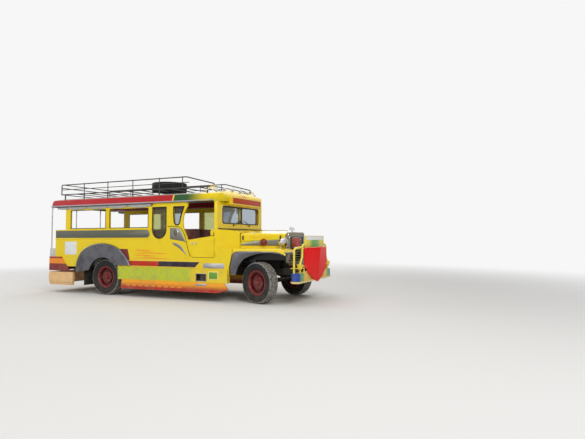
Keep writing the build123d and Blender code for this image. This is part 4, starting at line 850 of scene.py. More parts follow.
def arc(start: Flat, middle: Flat, end: Flat, steps: int = 12) -> list[Flat]:
    """Points of the circular arc through three points, both ends included."""
    (ax, ay), (bx, by), (cx, cy) = start, middle, end
    twice = 2 * (ax * (by - cy) + bx * (cy - ay) + cx * (ay - by))
    if abs(twice) < 1e-9:
        return [start, end]
    a2, b2, c2 = ax * ax + ay * ay, bx * bx + by * by, cx * cx + cy * cy
    ux = (a2 * (by - cy) + b2 * (cy - ay) + c2 * (ay - by)) / twice
    uy = (a2 * (cx - bx) + b2 * (ax - cx) + c2 * (bx - ax)) / twice
    radius = math.hypot(ax - ux, ay - uy)
    first = math.atan2(ay - uy, ax - ux)
    via = (math.atan2(by - uy, bx - ux) - first) % math.tau
    last = (math.atan2(cy - uy, cx - ux) - first) % math.tau
    if via > last:
        last -= math.tau
    return [
        (ux + radius * math.cos(first + last * i / steps), uy + radius * math.sin(first + last * i / steps))
        for i in range(steps + 1)
    ]


def rounded(low: Flat, high: Flat, radius: float, steps: int = 5) -> list[Flat]:
    """Rectangle with rounded corners, as a closed outline."""
    points: list[Flat] = []
    for cx, cy, turn in (
        (high[0] - radius, high[1] - radius, 0.0),
        (low[0] + radius, high[1] - radius, 0.5),
        (low[0] + radius, low[1] + radius, 1.0),
        (high[0] - radius, low[1] + radius, 1.5),
    ):
        for i in range(steps + 1):
            angle = math.pi * (turn + 0.5 * i / steps)
            points.append((cx + radius * math.cos(angle), cy + radius * math.sin(angle)))
    return points


def plate(
    outline: Sequence[Flat], near: float, far: float, axis: int = 1, edge: float = 0.0,
    holes: Sequence[Sequence[Flat]] = (),
) -> Build:
    """Builder of a flat plate cut to an outline.

    Args:
        outline: Closed outline in the two axes other than the plate's own, in X, Y, Z order.
        near: Back face's place along the axis.
        far: Front face's place along the axis.
        axis: The plate's own axis.
        edge: Bevel round the front face.
        holes: Closed outlines cut through.

    Returns:
        A function that fills a bmesh.
    """

    def spot(flat: Flat, depth: float) -> Point:
        values = list(flat)
        values.insert(axis, depth)
        return tuple(values)

    def build(shape: Shape) -> None:
        loops = [list(outline), *[list(hole) for hole in holes]]
        rims = []
        for loop in loops:
            verts = [shape.verts.new(spot(flat, near)) for flat in loop]
            rims.append([shape.edges.new((a, b)) for a, b in zip(verts, verts[1:] + verts[:1])])
        if holes:
            fill = bmesh.ops.triangle_fill(shape, use_beauty=True, edges=[e for rim in rims for e in rim])
            faces = [item for item in fill["geom"] if isinstance(item, bmesh.types.BMFace)]
        else:
            faces = [shape.faces.new([e.verts[0] for e in rims[0]])]
        grown = bmesh.ops.extrude_face_region(shape, geom=faces, use_keep_orig=True)
        moved = [item for item in grown["geom"] if isinstance(item, bmesh.types.BMVert)]
        shift = Vector(spot((0.0, 0.0), far - near))
        bmesh.ops.translate(shape, verts=moved, vec=shift)
        if edge:
            front = set(moved)
            edges = [
                e for e in shape.edges
                if all(v in front for v in e.verts)
                and any(not all(v in front for v in f.verts) for f in e.link_faces)
            ]
            bmesh.ops.bevel(shape, geom=edges, offset=edge, segments=2, affect="EDGES", profile=0.5)

    return build


def together(*builders: Build) -> Build:
    """Builder that runs several builders into one mesh."""

    def run(shape: Shape) -> None:
        for build in builders:
            build(shape)

    return run


def lathe(profile: Sequence[Flat], place: Matrix, steps: int = 24, closed: bool = True) -> Build:
    """Builder of a turned shape.

    Args:
        profile: Radius and height along the axis, from one end to the other.
        place: Matrix whose Z axis is the turning axis.
        steps: Facets round the axis.
        closed: Whether the first and last profile points are joined.

    Returns:
        A function that fills a bmesh.
    """

    def build(shape: Shape) -> None:
        rings = []
        for radius, height in profile:
            if radius < SMALLEST_RADIUS:
                rings.append([shape.verts.new(place @ Vector((0, 0, height)))])
                continue
            rings.append(
                [
                    shape.verts.new(place @ Vector((radius * math.cos(a), radius * math.sin(a), height)))
                    for a in (math.tau * i / steps for i in range(steps))
                ]
            )
        pairs = list(zip(rings, rings[1:]))
        if closed:
            pairs.append((rings[-1], rings[0]))
        for low, high in pairs:
            if len(low) == 1 and len(high) == 1:
                continue
            for i in range(steps):
                j = (i + 1) % steps
                if len(low) == 1:
                    shape.faces.new((low[0], high[i], high[j]))
                elif len(high) == 1:
                    shape.faces.new((low[i], low[j], high[0]))
                else:
                    shape.faces.new((low[i], low[j], high[j], high[i]))

    return build


def facing(origin: Point, direction: Point, spin: float = 0.0) -> Matrix:
    """Matrix at a point whose Z axis looks along a direction."""
    turn = Vector(direction).to_track_quat("Z", "Y").to_matrix().to_4x4()
    return Matrix.Translation(Vector(origin)) @ turn @ Matrix.Rotation(spin, 4, "Z")


def domes(spots: Iterable[tuple[Point, Point]], radius: float, steps: int = 8) -> Build:
    """Builder of round rivet or screw heads.

    Args:
        spots: Place and outward direction of each head.
        radius: Head's radius.
        steps: Facets round each head.

    Returns:
        A function that fills a bmesh.
    """
    profile = [
        (radius, -radius * 0.2), (radius, radius * 0.12), (radius * 0.8, radius * 0.42),
        (radius * 0.35, radius * 0.58), (0.0, radius * 0.6),
    ]
    heads = [lathe([(0.0, -radius * 0.2), *profile], facing(*spot), steps) for spot in spots]
    return together(*heads)


def hex_nuts(spots: Iterable[tuple[Point, Point]], radius: float, height: float) -> Build:
    """Builder of six-sided nuts with a stud end standing out of each."""
    parts = []
    for origin, direction in spots:
        place = facing(origin, direction)
        nut = [
            (0.0, 0.0), (radius, 0.0), (radius, height * 0.85), (radius * 0.86, height),
            (radius * 0.5, height),
        ]
        stud = [(radius * 0.5, height), (radius * 0.45, height * 1.5), (0.0, height * 1.55)]
        parts.append(lathe(nut + stud, place, 6))
    return together(*parts)


# Studio and camera


@dataclass
class Studio:
    """Pale floor, soft lamps and a plain white surround."""

    floor_colour: Colour = (0.74, 0.73, 0.71)
    horizon: float = 0.93
    fade_from: float = 5.0
    fade_end: float = 15.0
    aim: Point = (0.0, 0.0, 0.9)
    lamps: tuple[tuple[str, Point, float, float], ...] = (
        # name, place, size, power
        ("key", (9.0, -7.5, 8.0), 5.0, 620.0),
        ("side", (-2.0, -11.0, 5.5), 7.0, 300.0),
        ("far_side", (-3.0, 10.0, 6.0), 7.0, 300.0),
        ("rear", (-10.0, -1.0, 6.0), 6.0, 240.0),
        ("top", (0.0, 0.0, 9.0), 8.0, 300.0),
    )

    def build(self) -> None:
        """Make the floor, the lamps and the world."""
        self.make_floor()
        for name, place, size, power in self.lamps:
            lamp = bpy.data.lights.new(name, "AREA")
            lamp.size = size
            lamp.energy = power
            holder = bpy.data.objects.new(name, lamp)
            holder.location = place
            aim = Vector(self.aim) - Vector(place)
            holder.rotation_euler = aim.to_track_quat("-Z", "Y").to_euler()
            bpy.context.scene.collection.objects.link(holder)
        self.make_world()
        log.info("studio ready")

    def make_floor(self) -> None:
        """Large disc that turns into the surround's white far away."""
        floor = mesh_piece(
            "studio_floor",
            lambda shape: bmesh.ops.create_circle(shape, cap_ends=True, segments=96, radius=60.0) and None,
        )
        material = bpy.data.materials.new("studio_floor")
        material.use_nodes = True
        material.node_tree.nodes.clear()
        graph = Graph(material.node_tree)
        diffuse = graph.node("BsdfPrincipled")
        speck = graph.noise(graph.place(), 60.0, 4.0)
        graph.feed(
            diffuse.inputs["Base Color"],
            graph.blend(graph.ramp(speck, 0.3, 0.8, 0.0, 0.25), self.floor_colour, (0.6, 0.59, 0.56)),
        )
        diffuse.inputs["Roughness"].default_value = 0.9
        glow = graph.node("Emission")
        glow.inputs["Color"].default_value = (self.horizon,) * 3 + (1.0,)
        length = graph.node("VectorMath", operation="LENGTH")
        graph.feed(length.inputs[0], graph.place())
        mixer = graph.node("MixShader")
        graph.feed(mixer.inputs[0], graph.ramp(length.outputs["Value"], self.fade_from, self.fade_end))
        graph.feed(mixer.inputs[1], diffuse.outputs[0])
        graph.feed(mixer.inputs[2], glow.outputs[0])
        graph.feed(graph.node("OutputMaterial").inputs["Surface"], mixer.outputs[0])
        floor.data.materials.append(material)

    def make_world(self) -> None:
        """White to the camera, to gloss and through glass; a dimmer light on the object."""
        world = bpy.data.worlds.new("surround")
        bpy.context.scene.world = world
        world.use_nodes = True
        world.node_tree.nodes.clear()
        graph = Graph(world.node_tree)
        path = graph.node("LightPath")
        seen = graph.math("MAXIMUM", path.outputs["Is Camera Ray"], path.outputs["Is Glossy Ray"])
        seen = graph.math("MAXIMUM", seen, path.outputs["Is Transmission Ray"])
        strength = graph.ramp(seen, 0.0, 1.0, 0.30, self.horizon)
        back = graph.node("Background")
        back.inputs["Color"].default_value = (1.0, 1.0, 1.0, 1.0)
        graph.feed(back.inputs["Strength"], strength)
        graph.feed(graph.node("OutputWorld").inputs["Surface"], back.outputs[0])


@dataclass
class Viewpoint:
    """Camera at the photograph's viewing angle, from a fit of its lines."""

    place: Point = (6.3519, -8.4909, 1.2070)
    yaw: float = 23.706
    pitch: float = 2.429
    roll: float = -0.1255
    focal_px: float = 460.76
    sensor_mm: float = 36.0

    def build(self) -> None:
        """Create the camera and make it the scene's."""
        data = bpy.data.cameras.new("photo_camera")
        data.sensor_width = self.sensor_mm
        data.lens = self.focal_px / PHOTO_WIDTH * self.sensor_mm
        camera = bpy.data.objects.new("photo_camera", data)
        yaw, pitch = math.radians(self.yaw), math.radians(self.pitch)
        forward = Vector((-math.sin(yaw) * math.cos(pitch), math.cos(yaw) * math.cos(pitch), math.sin(pitch)))
        camera.rotation_mode = "QUATERNION"
        turn = forward.to_track_quat("-Z", "Y").to_matrix().to_4x4()
        camera.rotation_quaternion = (turn @ Matrix.Rotation(math.radians(self.roll), 4, "Z")).to_quaternion()
        camera.location = self.place
        bpy.context.scene.collection.objects.link(camera)
        bpy.context.scene.camera = camera
        log.info("camera ready")


# Dress of the CAD nodes


FINISHED_NODES: dict[str, str] = {
    "body_yellow": "bonnet destination_board door_left door_right rear_panels windscreen_frame",
    "chrome_plate": "bonnet_ornament grab_rails headlamps tail_lamps",
    "chassis_paint": "chassis_frame cross_members fuel_tank radiator spring_hangers",
    "cowl_paint": "cowl",
    "rack_paint": "rack_posts rack_slats roof_rack",
    "iron_black": (
        "drive_shaft engine_block exhaust_pipe front_axle_beam gearbox knuckle_left "
        "knuckle_right leaf_springs rear_axle_housing tie_rod"
    ),
    "floor_plate": "floor seat_frames",
    "bumper_paint": "front_bumper",
    "front_fender_paint": "front_fenders",
    "guard_yellow": "front_guard",
    "olive_steel": "grille_shell",
    "seal_rubber": "mud_flaps",
    "shield_red": "prow_shield",
    "canvas": "rain_curtains",
    "bumper_cream": "rear_bumper",
    "fender_steel": "rear_fenders",
    "valance_bands": "rear_valance",
    "rim_red": "rim_front_left rim_front_right rim_rear_left rim_rear_right",
    "roof_paint": "roof",
    "seat_vinyl": "seat_cushions",
    "amber_lens": "side_lamps",
    "side_paint": "side_panel_left side_panel_right",
    "skirt_fade": "side_skirts",
    "lime_bands": "side_steps",
    "tyre_rubber": "spare_tyre tyre_front_left tyre_front_right tyre_rear_left tyre_rear_right",
    "plastic_black": "steering_column steering_wheel",
    "window_glass": "windscreen_glass",
}


@dataclass
class FramePaint:
    """Finishes of the CAD nodes that stay in view."""

    smooth_angle: float = 30.0

    def dress(self, nodes: dict[str, Thing]) -> None:
        """Give each CAD node its finish and smooth shading on its curved faces.

        Args:
            nodes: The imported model's nodes by name.
        """
        finishes = {name: finish for finish, names in FINISHED_NODES.items() for name in names.split()}
        for name, node in nodes.items():
            finish = finishes[name]
            node.data.materials.clear()
            node.data.materials.append(Finishes.get(finish))
            node.data.shade_smooth()
            node.data.set_sharp_from_angle(angle=math.radians(self.smooth_angle))
            log.info("node %s painted %s", name, finish)


# Shapes for the dress


def pipe(points: Sequence[Point], radius: float, steps: int = 8, closed: bool = False) -> Build:
    """Builder of a round rod along points.

    Args:
        points: Corners or samples of the run.
        radius: Rod's radius.
        steps: Facets round the rod.
        closed: Whether the run comes back to its start.

    Returns:
        A function that fills a bmesh.
    """

    def build(shape: Shape) -> None:
        spots = [Vector(point) for point in points]
        last = len(spots) - 1
        rings = []
        up: Vector | None = None
        for i, spot in enumerate(spots):
            back = (spot - spots[i - 1]).normalized() if i or closed else None
            ahead = (spots[(i + 1) % len(spots)] - spot).normalized() if i < last or closed else None
            along = ((back or ahead) + (ahead or back)).normalized()
            up = along.orthogonal() if up is None else up - up.dot(along) * along
            up.normalize()
            across = along.cross(up)
            turns = [math.tau * k / steps for k in range(steps)]
            rings.append(
                [shape.verts.new(spot + radius * (math.cos(t) * up + math.sin(t) * across)) for t in turns],
            )
        pairs = list(zip(rings, rings[1:])) + ([(rings[-1], rings[0])] if closed else [])
        for low, high in pairs:
            for k in range(steps):
                n = (k + 1) % steps
                shape.faces.new((low[k], low[n], high[n], high[k]))
        if not closed:
            shape.faces.new(rings[0][::-1])
            shape.faces.new(rings[-1])

    return build


def placed(build: Build, place: Matrix) -> Build:
    """Builder whose result is moved by a matrix."""

    def run(shape: Shape) -> None:
        before = set(shape.verts)
        build(shape)
        bmesh.ops.transform(shape, matrix=place, verts=[vert for vert in shape.verts if vert not in before])

    return run


def mirrored(build: Build) -> Build:
    """Builder of a thing and its mirror image across the vehicle's middle."""
    return together(build, placed(build, MIRROR))


def run_through(points: Sequence[Sequence[float]], steps: int = 6) -> list[tuple[float, ...]]:
    """Smooth run of points through the given ones, ends included."""
    ends = [points[0], *points, points[-1]]
    run: list[tuple[float, ...]] = []
    for a, b, c, d in zip(ends, ends[1:], ends[2:], ends[3:]):
        for i in range(steps):
            t = i / steps
            run.append(
                tuple(
                    0.5 * (
                        2 * q + (r - p) * t + (2 * p - 5 * q + 4 * r - s) * t * t
                        + (3 * q - p - 3 * r + s) * t**3
                    )
                    for p, q, r, s in zip(a, b, c, d)
                )
            )
    run.append(tuple(points[-1]))
    return run


def piece(name: str, finish: str, *builders: Build, body: str = "body", smooth: float = 35.0) -> Thing:
    """New finished mesh piece made by one or more builders.

    Args:
        name: Object's name.
        finish: Name of the finish.
        builders: What the piece is made of.
        body: CAD body that it rides on.
        smooth: Largest angle in degrees that is shaded smooth.

    Returns:
        The object.
    """
    return put_on(mesh_piece(name, together(*builders), smooth), body, finish)


def side_plate(
    outline: Sequence[Flat], face: float = BODY_HALF, thick: float = 0.0015, edge: float = 0.0,
    holes: Sequence[Sequence[Flat]] = (),
) -> Build:
    """Plate on both sides of the body, cut to an outline in X and Z.

    Args:
        outline: Closed outline.
        face: Distance of the plate's back from the vehicle's middle.
        thick: Plate's thickness.
        edge: Bevel round its face.
        holes: Closed outlines cut through.

    Returns:
        A function that fills a bmesh.
    """
    return mirrored(plate(outline, -face, -face - thick, 1, edge, holes))


def side_rod(
    run: Iterable[Flat], radius: float, face: float = BODY_HALF, steps: int = 8, closed: bool = False
) -> Build:
    """Rod on both sides of the body.

    Args:
        run: Points in X and Z.
        radius: Rod's radius.
        face: Distance from the vehicle's middle.
        steps: Facets round the rod.
        closed: Whether the run comes back to its start.

    Returns:
        A function that fills a bmesh.
    """
    return mirrored(pipe([(x, -face, z) for x, z in run], radius, steps, closed))


def front_loop(x: float, outline: Iterable[Flat], radius: float = 0.006) -> Build:
    """Rod round an outline in Y and Z, across the vehicle at a place along it."""
    return pipe([(x, y, z) for y, z in outline], radius, closed=True)


def cross_heads(
    x: float, across: Sequence[float], heights: Sequence[float], radius: float,
    direction: Point = AHEAD, steps: int = 8
) -> Build:
    """Round heads at each crossing of some Y and Z values, on a face across the vehicle."""
    return domes([((x, y, z), direction) for y in across for z in heights], radius, steps)


def row(start: Flat, end: Flat, pitch: float) -> list[Flat]:
    """Evenly spaced points from start to end, about a pitch apart."""
    first, last = Vector(start), Vector(end)
    count = max(1, round((last - first).length / pitch))
    return [tuple(first.lerp(last, i / count)) for i in range(count + 1)]


def side_heads(rows: Iterable[tuple[Flat, Flat, float]], face: float = RIVET_FACE) -> Build:
    """Rows of rivet heads on both sides of the body.

    Args:
        rows: First and last head in X and Z, and the pitch, of each row.
        face: Distance from the vehicle's middle.

    Returns:
        A function that fills a bmesh.
    """
    spots = [((x, -face, z), RIGHTWARD) for ends in rows for x, z in row(*ends)]
    return mirrored(domes(spots, RIVET_RADIUS, 6))


# Wheels


@dataclass
class Wheels:
    """Treaded tyres, hub caps and wheel nuts."""

    track_half: float = 0.773
    kingpin: float = 0.650
    rest_steer: float = -18.0
    lugs: int = 44
    spare: Point = (-0.445, 0.0, 2.3793)
    nut_circle: float = 0.112
    nut_height: float = 0.049
    nut_radius: float = 0.012
    tread_from: float = 0.3595
    section: tuple[tuple[float, float, float], ...] = (
        # radius, distance from the tyre's middle, depth of the notch between lugs
        (0.2195, 0.0800, 0.0), (0.2440, 0.0812, 0.0), (0.2500, 0.0880, 0.0), (0.2610, 0.0940, 0.0),
        (0.2630, 0.0970, 0.0), (0.2700, 0.0985, 0.0), (0.2720, 0.0970, 0.0), (0.2960, 0.1040, 0.0),
        (0.2980, 0.1055, 0.0), (0.3040, 0.1062, 0.0), (0.3060, 0.1050, 0.0), (0.3240, 0.1066, 0.0),
        (0.3300, 0.1066, 0.0), (0.3320, 0.1048, 0.0), (0.3360, 0.1048, 0.0), (0.3380, 0.1062, 0.0),
        (0.3520, 0.1055, 0.0), (0.3590, 0.1045, 0.002), (0.3600, 0.1045, 0.008), (0.3690, 0.1030, 0.010),
        (0.3780, 0.0990, 0.012), (0.3820, 0.0940, 0.013), (0.3850, 0.0780, 0.012), (0.3855, 0.0660, 0.012),
        (0.3760, 0.0640, 0.0), (0.3760, 0.0570, 0.0), (0.3870, 0.0550, 0.004), (0.3880, 0.0300, 0.004),
        (0.3790, 0.0280, 0.0), (0.3790, 0.0210, 0.0), (0.3890, 0.0190, 0.002), (0.3896, 0.0, 0.002),
    )

    def places(self) -> dict[str, tuple[str, Matrix]]:
        """Body and spin-axis matrix of each wheel, by the end of its node's name."""
        turn = math.radians(self.rest_steer)
        made = {}
        for name, side in SIDES.items():
            hub = facing((REAR_AXLE, side * self.track_half, WHEEL_RADIUS), (0.0, side, 0.0))
            made["rear_" + name] = (f"rear_{name}_wheel", hub)
        for name, side in SIDES.items():
            out = Vector((-side * math.sin(turn), side * math.cos(turn), 0.0))
            pin = Vector((FRONT_AXLE, side * self.kingpin, WHEEL_RADIUS))
            middle = pin + out * (self.track_half - self.kingpin)
            made["front_" + name] = (f"front_{name}_wheel", facing(middle, out))
        return made

    def tyre(self, place: Matrix) -> Build:
        """Ring of the section, notched between the lugs and staggered from side to side."""
        half = [(r, h, cut, 0) for r, h, cut in self.section]
        other = [(r, -h, cut, 2) for r, h, cut in reversed(self.section[:-1])]
        loop = half + other
        steps = self.lugs * 4

        def build(shape: Shape) -> None:
            rings = []
            for radius, height, cut, shift in loop:
                ring = []
                for i in range(steps):
                    deep = radius - cut if (i + shift) % 4 == 3 else radius
                    angle = math.tau * i / steps
                    ring.append(
                        shape.verts.new(
                            place @ Vector((deep * math.cos(angle), deep * math.sin(angle), height)),
                        ),
                    )
                rings.append(ring)
            spans = list(zip(loop, loop[1:] + loop[:1]))
            for (inner, outer), low, high in zip(spans, rings, rings[1:] + rings[:1]):
                running = min(inner[0], outer[0]) > self.tread_from
                for i in range(steps):
                    j = (i + 1) % steps
                    shape.faces.new((low[i], low[j], high[j], high[i])).material_index = int(running)

        return build

    def rubber(self, name: str, body: str, node: str, place: Matrix, tread: str = "tread_rubber") -> None:
        """Tyre with the finish of its tread, in place of its plain node."""
        made = piece(name, "tyre_rubber", self.tyre(place), body=body, smooth=28.0)
        made.data.materials.append(Finishes.get(tread))
        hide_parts(node)

    def build(self) -> None:
        """Make the tyres with their fittings, and the spare."""
        for name, (body, place) in self.places().items():
            self.rubber("treaded_tyre_" + name, body, "tyre_" + name, place)
            out = place.to_3x3() @ Vector(UP)
            spots = []
            for i in range(6):
                angle = math.tau * (i + 0.5) / 6
                around = Vector(
                    (self.nut_circle * math.cos(angle), self.nut_circle * math.sin(angle), self.nut_height),
                )
                spots.append((place @ around, out))
            piece("wheel_nuts_" + name, "iron_black", hex_nuts(spots, self.nut_radius, 0.014), body=body)
            cap = [
                (0.050, 0.044), (0.050, 0.056), (0.044, 0.064), (0.043, 0.078), (0.036, 0.085),
                (0.0, 0.088),
            ]
            ring = [(0.128, 0.045), (0.132, 0.050), (0.137, 0.049), (0.140, 0.041)]
            stem = facing(place @ Vector((0.196, 0.0, 0.030)), out)
            piece(
                "hub_cap_" + name, "rim_red",
                lathe([(0.0, 0.044), *cap], place, 32),
                lathe(ring, place, 48),
                lathe([(0.0, 0.0), (0.005, 0.0), (0.005, 0.028), (0.003, 0.034), (0.0, 0.034)], stem, 8),
                body=body,
            )
        self.rubber("treaded_tyre_spare", "body", "spare_tyre", facing(self.spare, UP), "seal_rubber")


# Sides of body


@dataclass
class SideDress:
    """Belt strip, painted plates, window rubbers and rivets of both sides."""

    belt: tuple[float, float] = (1.238, 1.412)
    belt_rear: float = -2.955
    belt_front: float = -0.205
    skirt_top: float = 0.655
    stripe_top: float = 0.757
    step_face: float = 0.950

    def build(self) -> None:
        """Make every plate and strip on the sides."""
        self.belt_strip()
        self.painted_plates()
        self.step_fittings()
        self.window_rubbers()
        self.body_rivets()

    def belt_strip(self) -> None:
        """Dark metal strip with a rounded front end between yellow beads."""
        low, high = self.belt
        middle, reach = (low + high) / 2, (high - low) / 2
        nose = arc(
            (self.belt_front - reach, low), (self.belt_front, middle), (self.belt_front - reach, high), 14,
        )
        outline = [(self.belt_rear, high), (self.belt_rear, low), *nose]
        piece("belt_strip", "belt_steel", side_plate(outline, edge=0.0006))
        around = [(self.belt_rear, low), *nose, (self.belt_rear, high)]
        piece("belt_bead", "body_yellow", side_rod(around, 0.005, BODY_HALF + 0.0015))
        rear, front = self.belt_rear + 0.04, self.belt_front - 0.1
        heads = [((rear, z), (front, z), 0.075) for z in (low + 0.014, high - 0.014)]
        piece("belt_rivets", "bright_steel", side_heads(heads))

    def painted_plates(self) -> None:
        """Coloured stripes, strokes, ovals, lines and bare plates on the body's sides."""
        low, high = self.skirt_top, self.stripe_top
        red = [(-0.745, low), (0.020, low), (0.020, high), (-0.775, high)]
        purple = [(0.022, low), (0.925, low), (1.030, high), (0.022, high)]
        piece("red_stripe", "stripe_red", side_plate(red, edge=0.0005))
        piece("purple_stripe", "stripe_purple", side_plate(purple, edge=0.0005))
        trims = (((-0.70, high + 0.008), (1.045, high + 0.008)), ((-0.70, low - 0.006), (0.93, low - 0.006)))
        piece("stripe_beads", "cream_yellow", *[side_rod(trim, 0.005, 0.922) for trim in trims])
        strokes = []
        for rear, front, low_edge in (
            (-0.66, 0.36, 0.806), (-0.64, -0.05, 0.862), (-0.60, 0.30, 0.912), (-0.62, -0.15, 0.965),
        ):
            reach = front - rear
            top = [
                (rear, low_edge), (rear + 0.3 * reach, low_edge + 0.026),
                (front - 0.2 * reach, low_edge + 0.014), (front, low_edge + 0.002),
            ]
            under = [
                (front, low_edge), (front - 0.3 * reach, low_edge - 0.004),
                (rear + 0.35 * reach, low_edge + 0.006), (rear, low_edge - 0.004),
            ]
            strokes.append(side_plate([*run_through(top, 6), *run_through(under, 6)], thick=0.0009))
        piece("orange_strokes", "stripe_orange", *strokes)
        maroon = [(-1.02, 1.005), (-0.80, 1.005), (-0.735, 0.775), (-0.86, 0.775)]
        piece("maroon_patch", "dark_red", side_plate(maroon, thick=0.001))
        upper = [(0.308, 1.437), (0.500, 1.437), (0.590, 1.370), (0.655, 1.240), (0.705, 1.135)]
        panel = [*run_through(upper, 5), *run_through([(0.633, 1.168), (0.461, 1.190), (0.311, 1.210)], 5)]
        lower = [(0.360, 1.135), (0.470, 1.128), (0.560, 1.090), (0.655, 1.000), (0.730, 0.880)]
        sweep = [*run_through(lower, 5), *run_through([(0.615, 0.970), (0.510, 1.045), (0.410, 1.088)], 5)]
        piece("silver_panels", "wedge_steel", side_plate(panel, edge=0.0005), side_plate(sweep, edge=0.0005))
        turns = [math.tau * i / 28 for i in range(28)]
        oval = [(0.449 + 0.062 * math.cos(turn), 1.335 + 0.076 * math.sin(turn)) for turn in turns]
        piece("side_ovals", "belt_steel", side_plate(oval, BODY_HALF + 0.0015, 0.002, 0.0008))
        piece("oval_rims", "chrome_plate", side_rod(oval, 0.004, BODY_HALF + 0.003, 6, True))
        line = run_through(
            [
                (0.250, 1.470), (0.470, 1.468), (0.585, 1.420), (0.655, 1.320), (0.705, 1.190),
                (0.742, 1.060), (0.775, 0.950), (0.812, 0.865),
            ], 5
        )
        piece("sweep_lines", "seal_rubber", side_rod(line, 0.006, BODY_HALF + 0.001, 6))
        piece(
            "white_plate", "plate_white",
            side_plate(rounded((-2.655, 0.870), (-2.290, 1.160), 0.012), edge=0.0006),
        )
        silver = rounded((1.120, 0.628), (1.595, 0.738), 0.008)
        piece("silver_plate", "bright_steel", side_plate(silver, edge=0.0006))
        heads = [((1.14, z), (1.575, z), 0.145) for z in (0.642, 0.724)]
        heads += [((x, 0.885), (x, 1.145), 0.13) for x in (-2.64, -2.30)]
        piece("plate_rivets", "bright_steel", side_heads(heads))

    def step_fittings(self) -> None:
        """Foothold frame, green square, beads, toe plate and orange chevrons."""
        face = self.step_face
        frame = rounded((0.962, 0.385), (1.218, 0.541), 0.012)
        hole = rounded((0.976, 0.397), (1.204, 0.529), 0.006)
        piece("foothold_frame", "bright_steel", side_plate(frame, face, 0.003, 0.001, [hole]))
        yellow = rounded((1.255, 0.425), (1.485, 0.585), 0.01)
        green = rounded((1.278, 0.442), (1.462, 0.568), 0.006)
        piece("square_frame", "cream_yellow", side_plate(yellow, face, 0.0015, 0.0006))
        piece("green_square", "square_green", side_plate(green, face + 0.0015, 0.0012, 0.0005))
        beads = [
            side_rod([(-1.03, z), (1.66, z)], radius, face + 0.001)
            for z, radius in ((0.632, 0.007), (0.371, 0.006))
        ]
        piece("step_beads", "body_yellow", *beads)
        grey = rounded((0.965, 0.298), (1.215, 0.338), 0.006)
        piece("toe_plate", "bright_steel", side_plate(grey, face, 0.0015, 0.0006))
        dashes = []
        for i in range(9):
            x = -0.80 + i * 0.165
            dashes.append(
                side_plate(
                    [(x, 0.235), (x + 0.10, 0.235), (x + 0.125, 0.310), (x + 0.025, 0.310)], face, 0.001,
                ),
            )
        piece("skirt_chevrons", "stripe_orange", *dashes)

    def window_rubbers(self) -> None:
        """Seals, small panes and post rods of the side windows."""
        top = 1.862
        seals = []
        for rear, front in ((-2.485, -1.430), (-1.315, -0.255)):
            outer = rounded((rear - 0.004, 1.448), (front + 0.004, top + 0.004), 0.016)
            seals.append(
                side_plate(
                    outer, 0.918, 0.006, 0.0015,
                    [rounded((rear + 0.010, 1.462), (front - 0.010, top - 0.010), 0.010)],
                ),
            )
        tall_out = [
            (-0.149, top + 0.014), *arc((-0.149, 1.383), (0.035, 1.219), (0.219, 1.383), 16),
            (0.219, top + 0.014),
        ]
        tall_in = [
            (-0.125, top - 0.010), *arc((-0.125, 1.385), (0.035, 1.243), (0.195, 1.385), 16),
            (0.195, top - 0.010),
        ]
        seals.append(side_plate(tall_out, 0.917, 0.009, 0.003, [tall_in]))
        low = 1.500
        rear_run = [(0.386, top + 0.014), (0.386, low + 0.200), (0.400, low + 0.056)]
        front_run = run_through([(0.566, low + 0.056), (0.594, low + 0.176), (0.672, top + 0.014)], 8)
        quarter_out = [
            *rear_run, *arc(rear_run[-1], (0.485, low - 0.014), front_run[0], 14)[1:-1], *front_run,
        ]
        inner_rear = [(0.411, top - 0.010), (0.411, low + 0.196), (0.425, low + 0.066)]
        inner_front = run_through([(0.541, low + 0.066), (0.566, low + 0.186), (0.632, top - 0.010)], 8)
        quarter_in = [
            *inner_rear, *arc(inner_rear[-1], (0.485, low + 0.012), inner_front[0], 14)[1:-1], *inner_front,
        ]
        seals.append(side_plate(quarter_out, 0.917, 0.009, 0.003, [quarter_in]))
        piece("side_window_seals", "seal_rubber", *seals)
        tall_pane = [
            (-0.131, top + 0.004), *arc((-0.131, 1.385), (0.035, 1.237), (0.201, 1.385), 16),
            (0.201, top + 0.004),
        ]
        piece("tall_panes", "tall_glass", side_plate(tall_pane, 0.897, 0.004))
        piece("quarter_panes", "window_glass", side_plate(quarter_in, 0.897, 0.004))
        posts = [side_rod([(x, 1.452), (x, 1.866)], 0.010, 0.925, 10) for x in (-1.405, -1.340)]
        piece("window_post_rods", "body_yellow", *posts)

    def body_rivets(self) -> None:
        """Rows of rivets where the body's sheets lap."""
        heads = [
            ((-2.93, 1.180), (0.30, 1.180), 0.11), ((-2.935, 0.86), (-2.935, 1.40), 0.09),
            ((0.30, 0.80), (0.30, 1.80), 0.10), ((-2.90, 1.905), (0.60, 1.905), 0.14),
        ]
        piece("body_rivets", "cream_yellow", side_heads(heads, BODY_HALF))


# Nose


